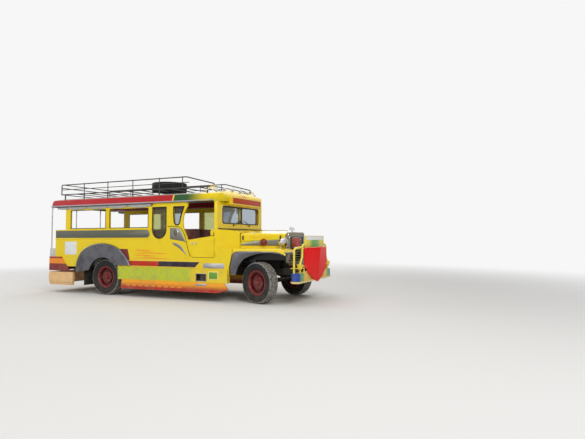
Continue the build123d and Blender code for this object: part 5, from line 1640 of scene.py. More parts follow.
@dataclass
class NoseDress:
    """Fender skins, lamp glasses, grille panel, bonnet fittings and side wedges."""

    fender_face: float = 0.905
    nose_x: float = 2.710
    lamp_y: float = 0.535
    lamp_z: float = 1.140
    plate_rear: Flat = (1.770, 0.600)
    plate_front: Flat = (2.665, 0.420)

    def build(self) -> None:
        """Make every piece of the nose."""
        self.fender_skins()
        self.lamps()
        self.grille()
        self.bonnet_fittings()
        self.wedges()

    def fender_skins(self) -> None:
        """Bare steel skins round the front arches, under a yellow bead."""
        bead = run_through(
            [
                (1.690, 0.560), (1.693, 0.700), (1.722, 0.860), (1.800, 0.958), (1.960, 0.984),
                (2.400, 0.984), (2.690, 0.976), (2.830, 0.935),
            ],
            6,
        )
        arch = [
            *arc((2.860, 0.906), (2.385, 0.949), (2.022, 0.842), 14),
            *arc((2.022, 0.842), (1.893, 0.692), (1.838, 0.534), 8)[1:],
        ]
        outline = [*bead, *arch, (1.690, 0.534)]
        piece("fender_skins", "fender_steel", side_plate(outline, self.fender_face, 0.0015, 0.0006))
        piece(
            "fender_beads", "body_yellow",
            side_rod([(1.690, 0.536), *bead], 0.008, self.fender_face + 0.002),
        )
        piece("arch_edges", "fender_steel", side_rod(arch, 0.006, self.fender_face - 0.004))

    def lamps(self) -> None:
        """Glasses and rims of the headlamps and of the round markers."""
        ahead = facing((self.nose_x - 0.150, -self.lamp_y, self.lamp_z), AHEAD)
        glass = [(0.081, 0.158), (0.081, 0.164), (0.070, 0.177), (0.045, 0.191), (0.022, 0.197), (0.0, 0.199)]
        inner = [(0.0, 0.1955), (0.022, 0.1935), (0.045, 0.1875), (0.070, 0.1735), (0.0785, 0.163)]
        piece("headlamp_glasses", "lamp_glass", mirrored(lathe([*glass, *inner], ahead, 48)))
        rim = [
            (0.0800, 0.157), (0.0800, 0.166), (0.0860, 0.171), (0.0940, 0.168), (0.0985, 0.158),
            (0.0985, 0.146), (0.0925, 0.141), (0.0925, 0.157),
        ]
        visors = []
        for side in SIDES.values():
            y, z = side * self.lamp_y, self.lamp_z
            bow = [
                (2.712, y + 0.103 * math.cos(turn), z + 0.103 * math.sin(turn))
                for turn in (math.pi * (1 - k / 14) for k in range(15))
            ]
            visors.append(pipe([(2.700, y - 0.10, z), *bow, (2.700, y + 0.10, z)], 0.006))
        piece("headlamp_rims", "chrome_plate", mirrored(lathe(rim, ahead, 48)), *visors)
        foot = Vector((*self.plate_rear, 1.145)).lerp(Vector((*self.plate_front, 1.145)), 0.52)
        out = Vector((0.197, 0.980, 0.0))
        marker = facing(foot + out * 0.030, out)
        piece(
            "marker_rims", "stripe_red",
            mirrored(
                lathe(
                    [(0.0585, -0.028), (0.067, -0.028), (0.068, 0.004), (0.062, 0.012), (0.0585, 0.004)],
                    marker, 36,
                ),
            ),
        )
        piece(
            "marker_glasses", "amber_lens",
            mirrored(
                lathe(
                    [(0.057, 0.0165), (0.050, 0.024), (0.028, 0.031), (0.0, 0.033), (0.0, 0.0165)], marker,
                    36, closed=False,
                ),
            ),
        )

    def grille(self) -> None:
        """Bare red panel, bright trims, upright rods and screws."""
        face = self.nose_x - 0.004
        red = plate(rounded((-0.180, 1.052), (0.180, 1.230), 0.016), face, face + 0.002, 0, 0.0008)
        piece("grille_red_panel", "stripe_red", red)
        trims = [
            front_loop(face + 0.002, rounded((-0.186, 1.046), (0.186, 1.236), 0.02, 4), 0.005),
            front_loop(self.nose_x, rounded((-0.400, 0.702), (0.400, 1.330), 0.06, 6)),
            front_loop(self.nose_x, rounded((-0.350, 0.762), (0.350, 1.264), 0.036, 6)),
        ]
        piece("grille_bright_trim", "chrome_plate", *trims)
        rods = [
            pipe([(self.nose_x - 0.014, y, 0.750), (self.nose_x - 0.014, y, 1.275)], 0.006)
            for y in (-0.30, -0.245, 0.245, 0.30)
        ]
        piece("grille_rods", "bright_steel", *rods)
        screws = cross_heads(self.nose_x, (-0.375, 0.375), (0.74, 0.88, 1.02, 1.16, 1.30), 0.007)
        piece("grille_screws", "bright_steel", screws)

    def bonnet_fittings(self) -> None:
        """Centre moulding, side catches and louvres."""
        spine = [
            (x, 0.0, z)
            for x, z in run_through([(1.800, 1.3845), (2.150, 1.3850), (2.450, 1.3800), (2.520, 1.3760)], 4)
        ]
        piece("bonnet_moulding", "chrome_plate", pipe(spine, 0.007), body="bonnet")
        catches = []
        for share in (0.06, 0.90):
            x = 1.770 + share * 0.88
            y = -(0.600 - share * 0.178)
            place = facing((x, y - 0.004, 1.235), BONNET_OUT)
            catches.append(
                placed(plate(rounded((-0.014, -0.045), (0.014, 0.045), 0.01), 0.0, 0.010, 2, 0.003), place),
            )
            catches.append(
                placed(pipe([(0.0, -0.030, 0.012), (0.0, 0.0, 0.026), (0.0, 0.034, 0.014)], 0.006), place),
            )
        piece("bonnet_catches", "rack_paint", *[mirrored(catch) for catch in catches], body="bonnet")
        louvres = []
        for k in range(7):
            share = 0.24 + k * 0.075
            x = 1.770 + share * 0.88
            y = -(0.601 - share * 0.180)
            place = facing((x, y, 1.262), BONNET_OUT)
            profile = [(-0.020, -0.034), (0.020, -0.034), (0.020, 0.034), (-0.020, 0.034)]
            louvres.append(placed(plate(profile, -0.001, 0.009, 2, 0.0045), place))
        piece("bonnet_louvres", "body_yellow", *[mirrored(louvre) for louvre in louvres], body="bonnet")

    def wedges(self) -> None:
        """Bare wedge panels along the plates beside the engine, with a lime edge."""
        rear, front = Vector((*self.plate_rear, 0.0)), Vector((*self.plate_front, 0.0))
        along = (front - rear).normalized()
        place = Matrix.Translation(rear) @ Matrix(
            (
                (along.x, along.y, 0.0, 0.0),
                (along.y, -along.x, 0.0, 0.0),
                (0.0, 0.0, 1.0, 0.0),
                (0.0, 0.0, 0.0, 1.0),
            )
        )
        outline = [
            (0.010, 1.092), (0.030, 1.080), (0.845, 1.074), (0.845, 1.202), (0.300, 1.172), (0.020, 1.116),
        ]
        sheet_metal = plate(outline, -0.001, -0.0035, 1, 0.0008)
        piece("engine_side_wedges", "wedge_steel", mirrored(placed(sheet_metal, place)))
        edge = [
            tuple(place @ Vector((u, -0.004, z)))
            for u, z in ((0.012, 1.118), (0.300, 1.173), (0.845, 1.203))
        ]
        piece("wedge_beads", "lime_line", mirrored(pipe(edge, 0.005)))


# Guard and front


@dataclass
class GuardDress:
    """Board faces, cups, rivets and bolts of the tubular guard and the bumper."""

    board_face: float = 3.103
    board_back: float = 3.081
    board_half: float = 0.490
    bumper_face: float = 3.125
    foot: Point = (3.095, 0.745, 0.585)
    shield_height: Flat = (0.385, 1.048)
    shield_half: float = 0.605
    shield_side: Flat = (3.135, 3.1103)
    shield_crease: Flat = (3.160, 3.225)

    def build(self) -> None:
        """Make the guard's fittings."""
        face = rounded((-self.board_half + 0.006, 1.058), (self.board_half - 0.006, 1.262), 0.012)
        piece(
            "guard_board_face", "board_bands",
            plate(face, self.board_face, self.board_face + 0.003, 0, 0.001),
        )
        piece(
            "guard_board_back", "guard_yellow",
            plate(face, self.board_back, self.board_back - 0.002, 0, 0.0008),
        )
        rim = rounded((-self.board_half, 1.053), (self.board_half, 1.265), 0.014, 4)
        piece("guard_board_rim", "guard_yellow", front_loop(self.board_face + 0.002, rim))
        rivets = cross_heads(self.board_face + 0.003, (-0.46, -0.155, 0.155, 0.46), (1.072, 1.248), 0.006)
        piece("guard_board_rivets", "bright_steel", rivets)
        self.cups()
        self.bumper()
        self.shield_edges()

    def cups(self) -> None:
        """Flared cups, base flanges and corner shelves at the guard's feet."""
        x, y, z = self.foot
        cup = facing((x, -y, z + 0.060), UP)
        profile = [
            (0.022, 0.0), (0.034, 0.002), (0.040, 0.030), (0.058, 0.086), (0.064, 0.094), (0.060, 0.098),
            (0.052, 0.092), (0.022, 0.070),
        ]
        flange = facing((x, -y, z), UP)
        shelf = [
            (2.965, -0.885), (3.125, -0.885), (3.150, -0.800), (3.150, -0.690), (3.060, -0.690),
            (2.965, -0.800),
        ]
        piece(
            "guard_cups", "guard_yellow",
            mirrored(lathe(profile, cup, 32)),
            mirrored(lathe([(0.0195, 0.0), (0.044, 0.0), (0.044, 0.006), (0.0195, 0.009)], flange, 24)),
            mirrored(plate(shelf, 0.672, 0.680, 2, 0.002)),
        )
        bolts = [
            ((x + 0.034 * math.cos(t), -y + 0.034 * math.sin(t), z + 0.006), UP)
            for t in (0.6, 2.2, 3.9, 5.4)
        ]
        piece("guard_foot_bolts", "iron_black", mirrored(hex_nuts(bolts, 0.007, 0.006)))
        collars = []
        for tube_y in (0.360, 0.545):
            collars.append(
                mirrored(
                    lathe(
                        [(0.0132, 0.0), (0.024, 0.0), (0.024, 0.005), (0.0132, 0.012)],
                        facing((x, -tube_y, z), UP), 20,
                    ),
                ),
            )
            collars.append(
                mirrored(
                    lathe(
                        [(0.0152, -0.014), (0.0185, -0.010), (0.0185, 0.010), (0.0152, 0.014)],
                        facing((x, -tube_y, 0.703), (0.0, 1.0, 0.0)), 20,
                    ),
                ),
            )
        piece("guard_collars", "cream_yellow", *collars)

    def bumper(self) -> None:
        """Bolts and a cream bead along the bumper's lip."""
        bolts = cross_heads(self.bumper_face, (-0.40, -0.36, 0.36, 0.40), (0.475, 0.540), 0.012, steps=12)
        piece("bumper_bolts", "bright_steel", bolts)
        lip = [(2.975, -0.900, 0.432), (3.085, -0.900, 0.432), (3.132, -0.860, 0.432), (3.137, -0.800, 0.432)]
        line = [*lip, *[(x, -y, z) for x, y, z in reversed(lip)]]
        piece("bumper_lip_bead", "cream_yellow", pipe(line, 0.006))

    def shield_edges(self) -> None:
        """Rolled edge along the shield's outline, its crease and its bolts."""
        low, high = self.shield_height

        def spot(y: float, z: float, out: float = 0.001) -> Point:
            rise = (z - low) / (high - low)
            side, crease = (
                foot + rise * (top - foot) for foot, top in (self.shield_side, self.shield_crease)
            )
            inward = 1 - abs(y) / self.shield_half
            return (side + 0.010 + (crease - side - 0.010) * inward + out, y, z)

        half = [
            (-0.045, 0.388), (-0.245, 0.470), (-0.440, 0.574), (-0.594, 0.701), (-0.601, 0.900),
            (-0.592, 1.044),
        ]
        edge = [spot(y, z, -0.004) for y, z in half]
        piece(
            "shield_rolled_edges", "shield_red", mirrored(pipe(edge, 0.006)),
            pipe([spot(0.0, 0.392, -0.004), spot(0.0, 1.046, -0.004)], 0.005),
        )
        bolts = [
            (spot(y, z), (1.0, 0.15 * (1 if y > 0 else -1), 0.0))
            for y in (-0.56, 0.56)
            for z in (0.703, 1.030)
        ]
        piece("shield_bolts", "chrome_plate", domes(bolts, 0.010, 12))


# Cab and roof


@dataclass
class CabDress:
    """Windscreen seals and wipers, door fittings, dashboard and controls."""

    screen_face: float = 1.440
    pane: tuple[float, float, float, float] = (0.020, 0.745, 1.530, 1.860)
    wheel_middle: Point = (0.995, 0.430, 1.265)
    column_foot: Point = (1.671, 0.430, 0.905)

    def build(self) -> None:
        """Make the cab's fittings."""
        self.screen()
        self.doors()
        self.steering()
        self.dashboard()

    def screen(self) -> None:
        """Rubber and beads round both panes, a dark centre strip, two wipers and bolts."""
        inner, outer, low, high = self.pane
        face = self.screen_face
        seals, beads = [], []
        for side in SIDES.values():
            ends = sorted((side * inner, side * outer))
            ring = rounded((ends[0] - 0.014, low - 0.016), (ends[1] + 0.014, high + 0.016), 0.066, 6)
            hole = rounded((ends[0] + 0.004, low + 0.006), (ends[1] - 0.004, high - 0.006), 0.050, 6)
            seals.append(plate(ring, face - 0.006, face + 0.008, 0, 0.004, [hole]))
            loop = rounded((ends[0] - 0.016, low - 0.018), (ends[1] + 0.016, high + 0.018), 0.068, 6)
            beads.append(front_loop(face + 0.001, loop))
        piece("windscreen_seals", "seal_rubber", *seals)
        piece("windscreen_beads", "cream_yellow", *beads)
        piece(
            "windscreen_centre_strip", "plastic_black",
            plate(rounded((-0.017, 1.505), (0.017, 1.885), 0.006), face, face + 0.010, 0, 0.003),
        )
        wipers = []
        for side in SIDES.values():
            foot = Vector((face + 0.004, side * 0.330, 1.492))
            tip = Vector((face + 0.026, side * 0.080, 1.585))
            wipers.append(
                lathe(
                    [(0.0, 0.0), (0.018, 0.0), (0.018, 0.008), (0.008, 0.022), (0.0, 0.022)],
                    facing(foot, AHEAD), 16,
                ),
            )
            wipers.append(pipe([foot + Vector((0.020, 0.0, 0.0)), tip], 0.004, 6))
            wipers.append(
                pipe(
                    [
                        (face + 0.016, side * 0.230, 1.548), (face + 0.022, side * 0.080, 1.590),
                        (face + 0.016, side * -0.010 + side * 0.04, 1.600),
                    ],
                    0.005, 6,
                ),
            )
        piece("wipers", "plastic_black", *wipers)
        # Black rod at the foot of the windscreen: partly a rubber seal, partly a painted shadow line under
        # the frame.
        piece(
            "scuttle_seal_and_shadow", "seal_rubber",
            pipe([(face + 0.010, -0.90, 1.412), (face + 0.010, 0.90, 1.412)], 0.008),
        )
        bolts = cross_heads(face, (-0.86, -0.80, 0.80, 0.86), (1.43, 1.68, 1.90), 0.007)
        piece("windscreen_bolts", "bright_steel", bolts)

    def doors(self) -> None:
        """Outer handles, inner cards, top cappings and pulls of both doors."""
        for name, side in SIDES.items():
            face = side * BODY_HALF
            out = (0.0, side, 0.0)
            handle = [
                (x, face + side * reach, 1.130)
                for x, reach in (
                    (0.850, 0.0), (0.852, 0.030), (0.862, 0.036),
                    (0.950, 0.036), (0.960, 0.030), (0.962, 0.0),
                )
            ]
            escutcheons = [
                lathe(
                    [(0.0, 0.0), (0.017, 0.0), (0.015, 0.004), (0.0, 0.005)], facing((x, face, 1.130), out),
                    16,
                )
                for x in (0.850, 0.962)
            ]
            piece(
                f"door_handle_{name}", "chrome_plate", pipe(handle, 0.007, 10), *escutcheons,
                body=f"{name}_door",
            )
            inside = side * 0.885
            card = [(0.86, 0.900), (1.330, 0.900), (1.330, 1.235), (0.875, 1.165)]
            piece(
                f"door_card_{name}", "seat_vinyl", plate(card, inside, inside - side * 0.004, 1, 0.002),
                body=f"{name}_door",
            )
            capping = [(0.800, side * 0.9025, 1.2000), (1.355, side * 0.9025, 1.2755)]
            piece(f"door_capping_{name}", "seal_rubber", pipe(capping, 0.010, 10), body=f"{name}_door")
            pull = [
                (0.98, inside, 1.080), (0.985, inside - side * 0.03, 1.080),
                (1.075, inside - side * 0.03, 1.080), (1.08, inside, 1.080),
            ]
            piece(f"door_pull_{name}", "bright_steel", pipe(pull, 0.005), body=f"{name}_door")

    def steering(self) -> None:
        """Steering wheel with paired spokes, and its horn button."""
        hub = Vector(self.wheel_middle)
        up = (hub - Vector(self.column_foot)).normalized()
        place = facing(hub, up)
        radius, thick = 0.205, 0.0128
        rim = []
        for k in range(16):
            angle = math.tau * k / 16
            rim.append((radius + thick * math.cos(angle), thick * math.sin(angle)))
        spokes = []
        for k in range(3):
            angle = math.tau * k / 3
            ahead = Vector((math.cos(angle), math.sin(angle), 0.0))
            across = Vector((-math.sin(angle), math.cos(angle), 0.0))
            for shift in (-0.010, 0.010):
                start = place @ (ahead * 0.034 + across * shift + Vector((0, 0, 0.004)))
                end = place @ (ahead * (radius - 0.004) + across * shift)
                spokes.append(pipe([start, end], 0.0045))
        boss = [(0.0103, -0.0178), (0.038, -0.0178), (0.038, 0.012), (0.030, 0.018), (0.0103, 0.018)]
        grip = piece(
            "steering_wheel_rim", "plastic_black",
            lathe(rim, place, 72), lathe(boss, place, 32), *spokes, body="steering_wheel",
        )
        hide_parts("steering_wheel")
        button = [(0.0, 0.019), (0.028, 0.019), (0.030, 0.023), (0.026, 0.030), (0.012, 0.034), (0.0, 0.035)]
        piece("horn_button", "chrome_plate", lathe(button, place, 32), body="steering_wheel")

    def dashboard(self) -> None:
        """Dials, gear lever, pedals and inner mirror."""
        dials, rims = [], []
        for y, radius in ((0.43, 0.048), (0.545, 0.030), (0.315, 0.030)):
            place = facing((1.262, y, 1.245), ASTERN)
            dials.append(lathe([(0.0, -0.004), (radius, -0.004), (radius, 0.003), (0.0, 0.003)], place, 32))
            rims.append(
                lathe(
                    [
                        (radius, -0.004), (radius + 0.006, -0.004), (radius + 0.005, 0.007),
                        (radius - 0.001, 0.006),
                    ],
                    place, 32,
                ),
            )
        piece("dials", "plastic_black", *dials)
        piece("dial_rims", "chrome_plate", *rims)
        lever = [(0.990, 0.0, 0.675), (0.985, 0.0, 0.800), (0.930, 0.010, 1.030), (0.905, 0.012, 1.110)]
        knob = lathe(
            [(0.0, -0.016), (0.012, -0.012), (0.017, 0.0), (0.012, 0.012), (0.0, 0.016)],
            facing((0.903, 0.012, 1.118), UP), 16,
        )
        boot = lathe(
            [
                (0.0, 0.0), (0.060, 0.0), (0.052, 0.016), (0.040, 0.020), (0.034, 0.040), (0.020, 0.060),
                (0.0, 0.062),
            ],
            facing((0.990, 0.0, 0.675), UP), 24,
        )
        piece("gear_lever", "plastic_black", pipe(run_through(lever, 5), 0.009, 10), knob, boot)
        pedals = []
        for y in (0.34, 0.44, 0.54):
            pedals.append(pipe([(1.655, y, 0.950), (1.600, y, 0.830), (1.545, y, 0.770)], 0.007))
            pedals.append(
                placed(
                    plate(rounded((-0.035, -0.028), (0.035, 0.028), 0.008), 0.0, 0.010, 2, 0.003),
                    facing((1.540, y, 0.775), (-0.75, 0.0, 0.65)),
                ),
            )
        piece("pedals", "iron_black", *pedals)
        glass = placed(
            plate(rounded((-0.105, -0.028), (0.105, 0.028), 0.014), 0.0, 0.012, 2, 0.004),
            facing((1.335, 0.0, 1.845), (-1.0, 0.0, -0.12), math.pi / 2),
        )
        piece("inner_mirror", "chrome_plate", glass, pipe([(1.345, 0.0, 1.850), (1.370, 0.0, 1.905)], 0.005))


@dataclass
class RoofDress:
    """Gutter trims with a painted shadow line under them, destination panel, marker lamps, curled rods and
    rack collars.
    """

    gutter_half: float = 0.955

    def build(self) -> None:
        """Make the roof's fittings."""
        board = rounded((-0.590, 1.922), (0.590, 2.036), 0.012)
        piece("destination_panel", "board_orange", plate(board, 1.586, 1.5885, 0, 0.001))
        edge = rounded((-0.594, 1.918), (0.594, 2.040), 0.014, 4)
        piece("destination_bead", "cream_yellow", front_loop(1.588, edge, 0.005))
        trim = side_rod([(-3.085, 1.977), (1.360, 1.977)], 0.008, self.gutter_half)
        # Black rod just under the gutter trim: a painted shadow line below the gutter.
        shadow_rod = side_rod([(-3.085, 1.955), (1.360, 1.955)], 0.006, self.gutter_half - 0.004)
        piece("gutter_trim", "gutter_lilac", trim)
        piece("gutter_shadow", "seal_rubber", shadow_rod)
        self.front_lamps()
        self.rack_ties()

    def front_lamps(self) -> None:
        """Round marker lamps along the roof's front edge, and a curled rod at each end."""
        shells, lenses = [], []
        for y in (-0.78, -0.47, -0.16, 0.16, 0.47, 0.78):
            rise = 2.208 - 0.085 * (abs(y) / 0.9) ** 2.2
            place = facing((1.330, y, rise + 0.040), AHEAD)
            shells.append(
                lathe(
                    [
                        (0.0, -0.052), (0.024, -0.046), (0.036, -0.020), (0.038, 0.0), (0.041, 0.004),
                        (0.041, 0.010), (0.035, 0.010), (0.0, 0.004),
                    ],
                    place, 28,
                ),
            )
            shells.append(pipe([(1.318, y, rise - 0.014), (1.318, y, rise + 0.012)], 0.010, 10))
            lenses.append(
                lathe(
                    [
                        (0.0, 0.006), (0.034, 0.006), (0.034, 0.012), (0.026, 0.024), (0.012, 0.030),
                        (0.0, 0.031),
                    ],
                    place, 28,
                ),
            )
        piece("roof_marker_shells", "chrome_plate", *shells)
        piece("roof_marker_lenses", "pale_lens", *lenses)
        scrolls = []
        for side in SIDES.values():
            curl = []
            for k in range(26):
                angle = math.tau * k / 16
                reach = 0.062 - 0.0018 * k
                x, z = 1.250 - reach * math.cos(angle), 2.170 + 0.062 + reach * math.sin(angle)
                curl.append((x, side * 0.800, z))
            scrolls.append(pipe([(1.080, side * 0.800, 2.165), (1.130, side * 0.800, 2.205), *curl], 0.008))
        piece("roof_scrolls", "cream_yellow", *scrolls)

    def rack_ties(self) -> None:
        """Collars on the rack's rails."""
        collars = []
        for x in (-2.285, -1.565, -0.845, -0.125, 0.475):
            for z in (2.262, 2.490):
                collars.append(
                    mirrored(
                        lathe(
                            [(0.0125, -0.012), (0.0160, -0.009), (0.0160, 0.009), (0.0125, 0.012)],
                            facing((x, -0.740, z), AHEAD), 16,
                        ),
                    ),
                )
        piece("rack_welds", "rack_paint", *collars)


# Rear


@dataclass
class RearDress:
    """Lamps, treads, edges and rivets of the tail."""

    pod_rear: float = -3.165

    def build(self) -> None:
        """Make the tail's fittings."""
        lenses, rims = [], []
        for z in (0.865, 0.950):
            place = facing((self.pod_rear + 0.002, -0.850, z), ASTERN)
            rims.append(lathe([(0.030, -0.004), (0.038, -0.004), (0.037, 0.006), (0.030, 0.008)], place, 28))
            lenses.append(
                lathe([(0.0, 0.0), (0.0305, 0.0), (0.029, 0.010), (0.018, 0.018), (0.0, 0.021)], place, 28),
            )
        piece("tail_lenses", "red_lens", *[mirrored(lens) for lens in lenses])
        piece("tail_lens_rims", "chrome_plate", *[mirrored(rim) for rim in rims])
        side_lens = plate(rounded((-3.115, 0.850), (-3.015, 0.970), 0.03), -0.925, -0.932, 1, 0.003)
        piece("tail_side_lenses", "pale_lens", mirrored(side_lens))
        treads = []
        for k in range(24):
            y = -0.80 + k * 0.0696
            treads.append(pipe([(-3.190, y, 0.4705), (-2.965, y, 0.4705)], 0.004, 6))
        piece("rear_step_treads", "bright_steel", *treads)
        edges = [
            pipe([(-2.962, s * 0.345, 0.69), (-2.962, s * 0.345, 1.425)], 0.010, 10)
            for s in (-1.0, 1.0)
        ]
        piece("doorway_edges", "chrome_plate", *edges)
        across = (-0.40, -0.60, -0.84, 0.40, 0.60, 0.84)
        rivets = cross_heads(-2.962, across, (0.86, 1.10, 1.40), 0.006, ASTERN)
        piece("rear_panel_rivets", "bright_steel", rivets)


# Soft goods


@dataclass(frozen=True)
class Cushion:
    """A stuffed seat pad whose panels bulge between pinned seams."""

    size: Point
    voxel: float = 0.012
    seam: float = 0.013
    cap: float = 0.012
    pressure: float = 4.0
    growth: float = 0.06
    frames: int = 20

    def mesh(self) -> bpy.types.Mesh:
        """Remesh the pad's box, blow it up as cloth and hold the swelling to the cap.

        Returns:
            The settled mesh, centred on the origin.
        """
        half = [value / 2 for value in self.size]
        outline = rounded((-half[0], -half[1]), (half[0], half[1]), min(0.03, half[0], half[1]), 4)
        pad = mesh_piece("cushion_form", plate(outline, -half[2], half[2], 2, 0.006))
        remesh = pad.modifiers.new("grid", "REMESH")
        remesh.mode = "VOXEL"
        remesh.voxel_size = self.voxel
        graph = bpy.context.evaluated_depsgraph_get()
        grid = bpy.data.meshes.new_from_object(pad.evaluated_get(graph))
        pad.modifiers.clear()
        pad.data = grid
        rest = [vert.co.copy() for vert in grid.vertices]
        pad.vertex_groups.new(name="seam").add(
            [i for i, spot in enumerate(rest) if self.on_seam(spot, half)], 1.0, "REPLACE",
        )
        self.simulate(pad)
        graph = bpy.context.evaluated_depsgraph_get()
        blown = bpy.data.meshes.new_from_object(pad.evaluated_get(graph))
        for vert, start in zip(blown.vertices, rest):
            shift = vert.co - start
            if shift.length > self.cap:
                vert.co = start + shift.normalized() * self.cap
        grid = blown
        bpy.data.objects.remove(pad)
        return grid

    def on_seam(self, spot: Vector, half: Sequence[float]) -> bool:
        """Whether a point lies on the seams round the pad's two large faces."""
        thin = min(range(3), key=lambda axis: half[axis])
        if abs(spot[thin]) < half[thin] - self.seam:
            return False
        return any(abs(spot[axis]) > half[axis] - self.seam for axis in range(3) if axis != thin)

    def simulate(self, pad: Thing) -> None:
        """Run the cloth with inner pressure and no gravity."""
        scene = bpy.context.scene
        cloth = pad.modifiers.new("cloth", "CLOTH")
        settings = cloth.settings
        settings.quality = 4
        settings.mass = 0.3
        settings.tension_stiffness = settings.compression_stiffness = 8.0
        settings.bending_stiffness = 0.3
        settings.use_pressure = True
        settings.uniform_pressure_force = self.pressure
        settings.shrink_min = -self.growth
        settings.vertex_group_mass = "seam"
        settings.pin_stiffness = 1.0
        settings.effector_weights.gravity = 0.0
        cloth.point_cache.frame_start = 1
        cloth.point_cache.frame_end = self.frames
        for frame in range(1, self.frames + 1):
            scene.frame_set(frame)


def copied(mesh: bpy.types.Mesh, place: Matrix) -> Build:
    """Builder that puts a copy of a mesh at a matrix."""
    return placed(lambda shape: shape.from_mesh(mesh), place)


@dataclass
class Seats:
    """Stuffed bench and cab cushions with piping along their seams."""

    bench: tuple[float, float, int] = (-2.840, 0.125, 6)
    bench_back: tuple[float, float, int] = (-2.780, 0.085, 4)
    bench_side: Flat = (0.470, 0.815)
    back_side: Flat = (0.823, 0.883)
    bench_height: Flat = (1.010, 1.085)
    back_height: Flat = (1.095, 1.405)

    def build(self) -> None:
        """Make the cushions of the benches and of the cab."""
        rear, front, count = self.bench
        self.line("bench_cushions", rear, front, count, self.bench_side, self.bench_height)
        rear, front, count = self.bench_back
        self.line("bench_backs", rear, front, count, self.back_side, self.back_height)
        self.single("cab_seat_cushions", (0.427, 0.780), (0.070, 0.840), (0.955, 1.055))
        self.single("cab_seat_backs", (0.335, 0.423), (0.070, 0.840), (1.060, 1.420))

    def line(self, name: str, rear: float, front: float, count: int, side: Flat, height: Flat) -> None:
        """Row of equal cushions on each side of the body.

        Args:
            name: Start of the pieces' names.
            rear: Row's rear end.
            front: Row's front end.
            count: Number of cushions.
            side: Inner and outer distance from the vehicle's middle.
            height: Lower and upper height.
        """
        pitch = (front - rear) / count
        size = (pitch - 0.006, side[1] - side[0], height[1] - height[0])
        mesh = Cushion(size).mesh()
        spots = [
            (rear + (i + 0.5) * pitch, -(side[0] + side[1]) / 2, (height[0] + height[1]) / 2)
            for i in range(count)
        ]
        for sign, end in ((1.0, "right"), (-1.0, "left")):
            turn = Matrix.Scale(sign, 4, (0.0, 1.0, 0.0))
            pads = [copied(mesh, turn @ Matrix.Translation(spot)) for spot in spots]
            seams = [placed(self.piping(size), turn @ Matrix.Translation(spot)) for spot in spots]
            made = piece(f"{name}_{end}", "seat_vinyl", *pads, smooth=70.0)
            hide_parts("seat_cushions")
            piece(f"{name}_piping_{end}", "seat_piping", *seams)

    def single(self, name: str, along: Flat, side: Flat, height: Flat) -> None:
        """One large cushion on each side of the cab."""
        self.line(name, along[0], along[1], 1, side, height)

    def piping(self, size: Point) -> Build:
        """Round piping along the seams of a cushion's two large faces."""
        thin = min(range(3), key=lambda axis: size[axis])
        wide = [axis for axis in range(3) if axis != thin]
        corner = [size[axis] / 2 - 0.003 for axis in wide]
        loops = []
        for end in (-1.0, 1.0):
            loop = []
            for u, v in rounded((-corner[0], -corner[1]), (corner[0], corner[1]), 0.022, 4):
                spot = [0.0, 0.0, 0.0]
                spot[wide[0]], spot[wide[1]], spot[thin] = u, v, end * (size[thin] / 2 - 0.003)
                loop.append(tuple(spot))
            loops.append(pipe(loop, 0.0035, 6, True))
        return together(*loops)


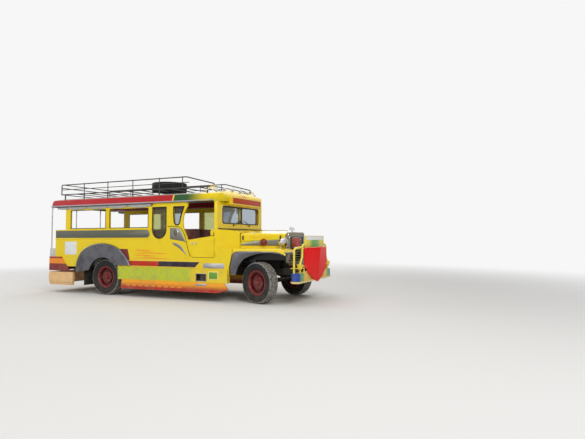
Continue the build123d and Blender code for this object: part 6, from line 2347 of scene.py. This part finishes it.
@dataclass
class RainCurtains:
    """Canvas curtains rolled up under the gutters, sagging between their straps."""

    straps: tuple[float, ...] = (-0.155, -0.805, -1.370, -1.975, -2.565, -2.865)
    across: float = 0.9345
    top: float = 1.9480
    drop_at_strap: float = 0.045
    drop_between: float = 0.080
    half_width: float = 0.0145
    turns: float = 2.0
    samples: int = 34
    slices: int = 120
    strap_thick: float = 0.0015
    strap_steps: int = 20

    def build(self) -> None:
        """Make both rolls with their straps."""
        for name, side in SIDES.items():
            roll, area = self.roll(side)
            made = put_on(roll, "body", "canvas")
            straps = piece(
                "curtain_straps_" + name, "curtain_strap", *[self.strap(x, side) for x in self.straps],
            )
            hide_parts("rain_curtains")

    def drop(self, x: float) -> float:
        """Depth of the roll under its top at a place along it."""
        for front, rear in zip(self.straps, self.straps[1:]):
            if rear <= x <= front:
                share = (x - rear) / (front - rear)
                reach = min(1.0, (front - rear) / 0.5)
                sag = self.drop_between - self.drop_at_strap
                return self.drop_at_strap + sag * reach * math.sin(math.pi * share) ** 0.7
        return self.drop_at_strap

    def roll(self, side: float) -> tuple[Thing, float]:
        """Spiral of cloth along the gutter.

        Args:
            side: Sign of Y.

        Returns:
            The piece and the area of its cloth.
        """
        front, rear = self.straps[0], self.straps[-1]
        random.seed(11)
        waves = [
            (random.uniform(5.0, 17.0), random.uniform(0.0, math.tau), random.uniform(0.4, 1.0))
            for _ in range(6)
        ]

        def build(shape: Shape) -> None:
            rings = []
            for i in range(self.slices + 1):
                x = front + (rear - front) * i / self.slices
                drop = self.drop(x)
                slack = sum(weight * math.sin(rate * x * 2 + phase) for rate, phase, weight in waves) / 4
                ring = []
                for k in range(self.samples + 1):
                    share = k / self.samples
                    angle = math.tau * self.turns * share + 0.15 * slack
                    wide = self.half_width * (0.42 + 0.58 * share)
                    swell = 1.0 + 0.05 * slack * math.sin(3 * angle)
                    high = (drop / 2 - 0.001) * (0.45 + 0.55 * share) * swell
                    bulge = 1.0 + 0.10 * slack * math.sin(2 * angle + x * 9)
                    y = self.across + wide * math.sin(angle) * bulge
                    z = self.top - drop / 2 + high * math.cos(angle)
                    ring.append(shape.verts.new((x, side * y, min(z, self.top + 0.002))))
                rings.append(ring)
            for low, high_ring in zip(rings, rings[1:]):
                for k in range(self.samples):
                    shape.faces.new((low[k], low[k + 1], high_ring[k + 1], high_ring[k]))

        name = "rolled_curtain_" + ("right" if side < 0 else "left")
        made = mesh_piece(name, build, 80.0)
        return made, sum(face.area for face in made.data.polygons)

    def strap(self, x: float, side: float) -> Build:
        """Band round the roll that hangs it from the gutter."""
        drop = self.drop_at_strap
        loop = []
        for k in range(self.strap_steps):
            angle = math.tau * k / self.strap_steps
            y = self.across + (self.half_width + self.strap_thick) * math.sin(angle)
            z = self.top - drop / 2 + (drop / 2 + 0.001) * math.cos(angle)
            loop.append((x, side * y, z))

        def build(shape: Shape) -> None:
            rings = []
            for shift, grow in ((-0.010, 0.0), (-0.010, 1.0), (0.010, 1.0), (0.010, 0.0)):
                ring = []
                for px, py, pz in loop:
                    away = Vector((0.0, py - side * self.across, pz - self.top + drop / 2)).normalized()
                    spot = Vector((px + shift, py, pz)) + away * self.strap_thick * grow
                    ring.append(shape.verts.new(spot))
                rings.append(ring)
            for low, high in zip(rings, rings[1:] + rings[:1]):
                for k in range(self.strap_steps):
                    n = (k + 1) % self.strap_steps
                    shape.faces.new((low[k], low[n], high[n], high[k]))

        return build


def main() -> None:
    """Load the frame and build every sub-assembly."""
    logging.basicConfig(level=logging.INFO, format="%(name)s: %(message)s")
    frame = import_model()
    bpy.context.scene.view_settings.view_transform = "Standard"
    Viewpoint().build()
    Studio().build()
    FramePaint().dress(frame["nodes"])
    for part in (
        Wheels(), SideDress(), NoseDress(), GuardDress(), CabDress(), RoofDress(), RearDress(), Seats(),
        RainCurtains(),
    ):
        part.build()


if __name__ == "__main__":
    main()
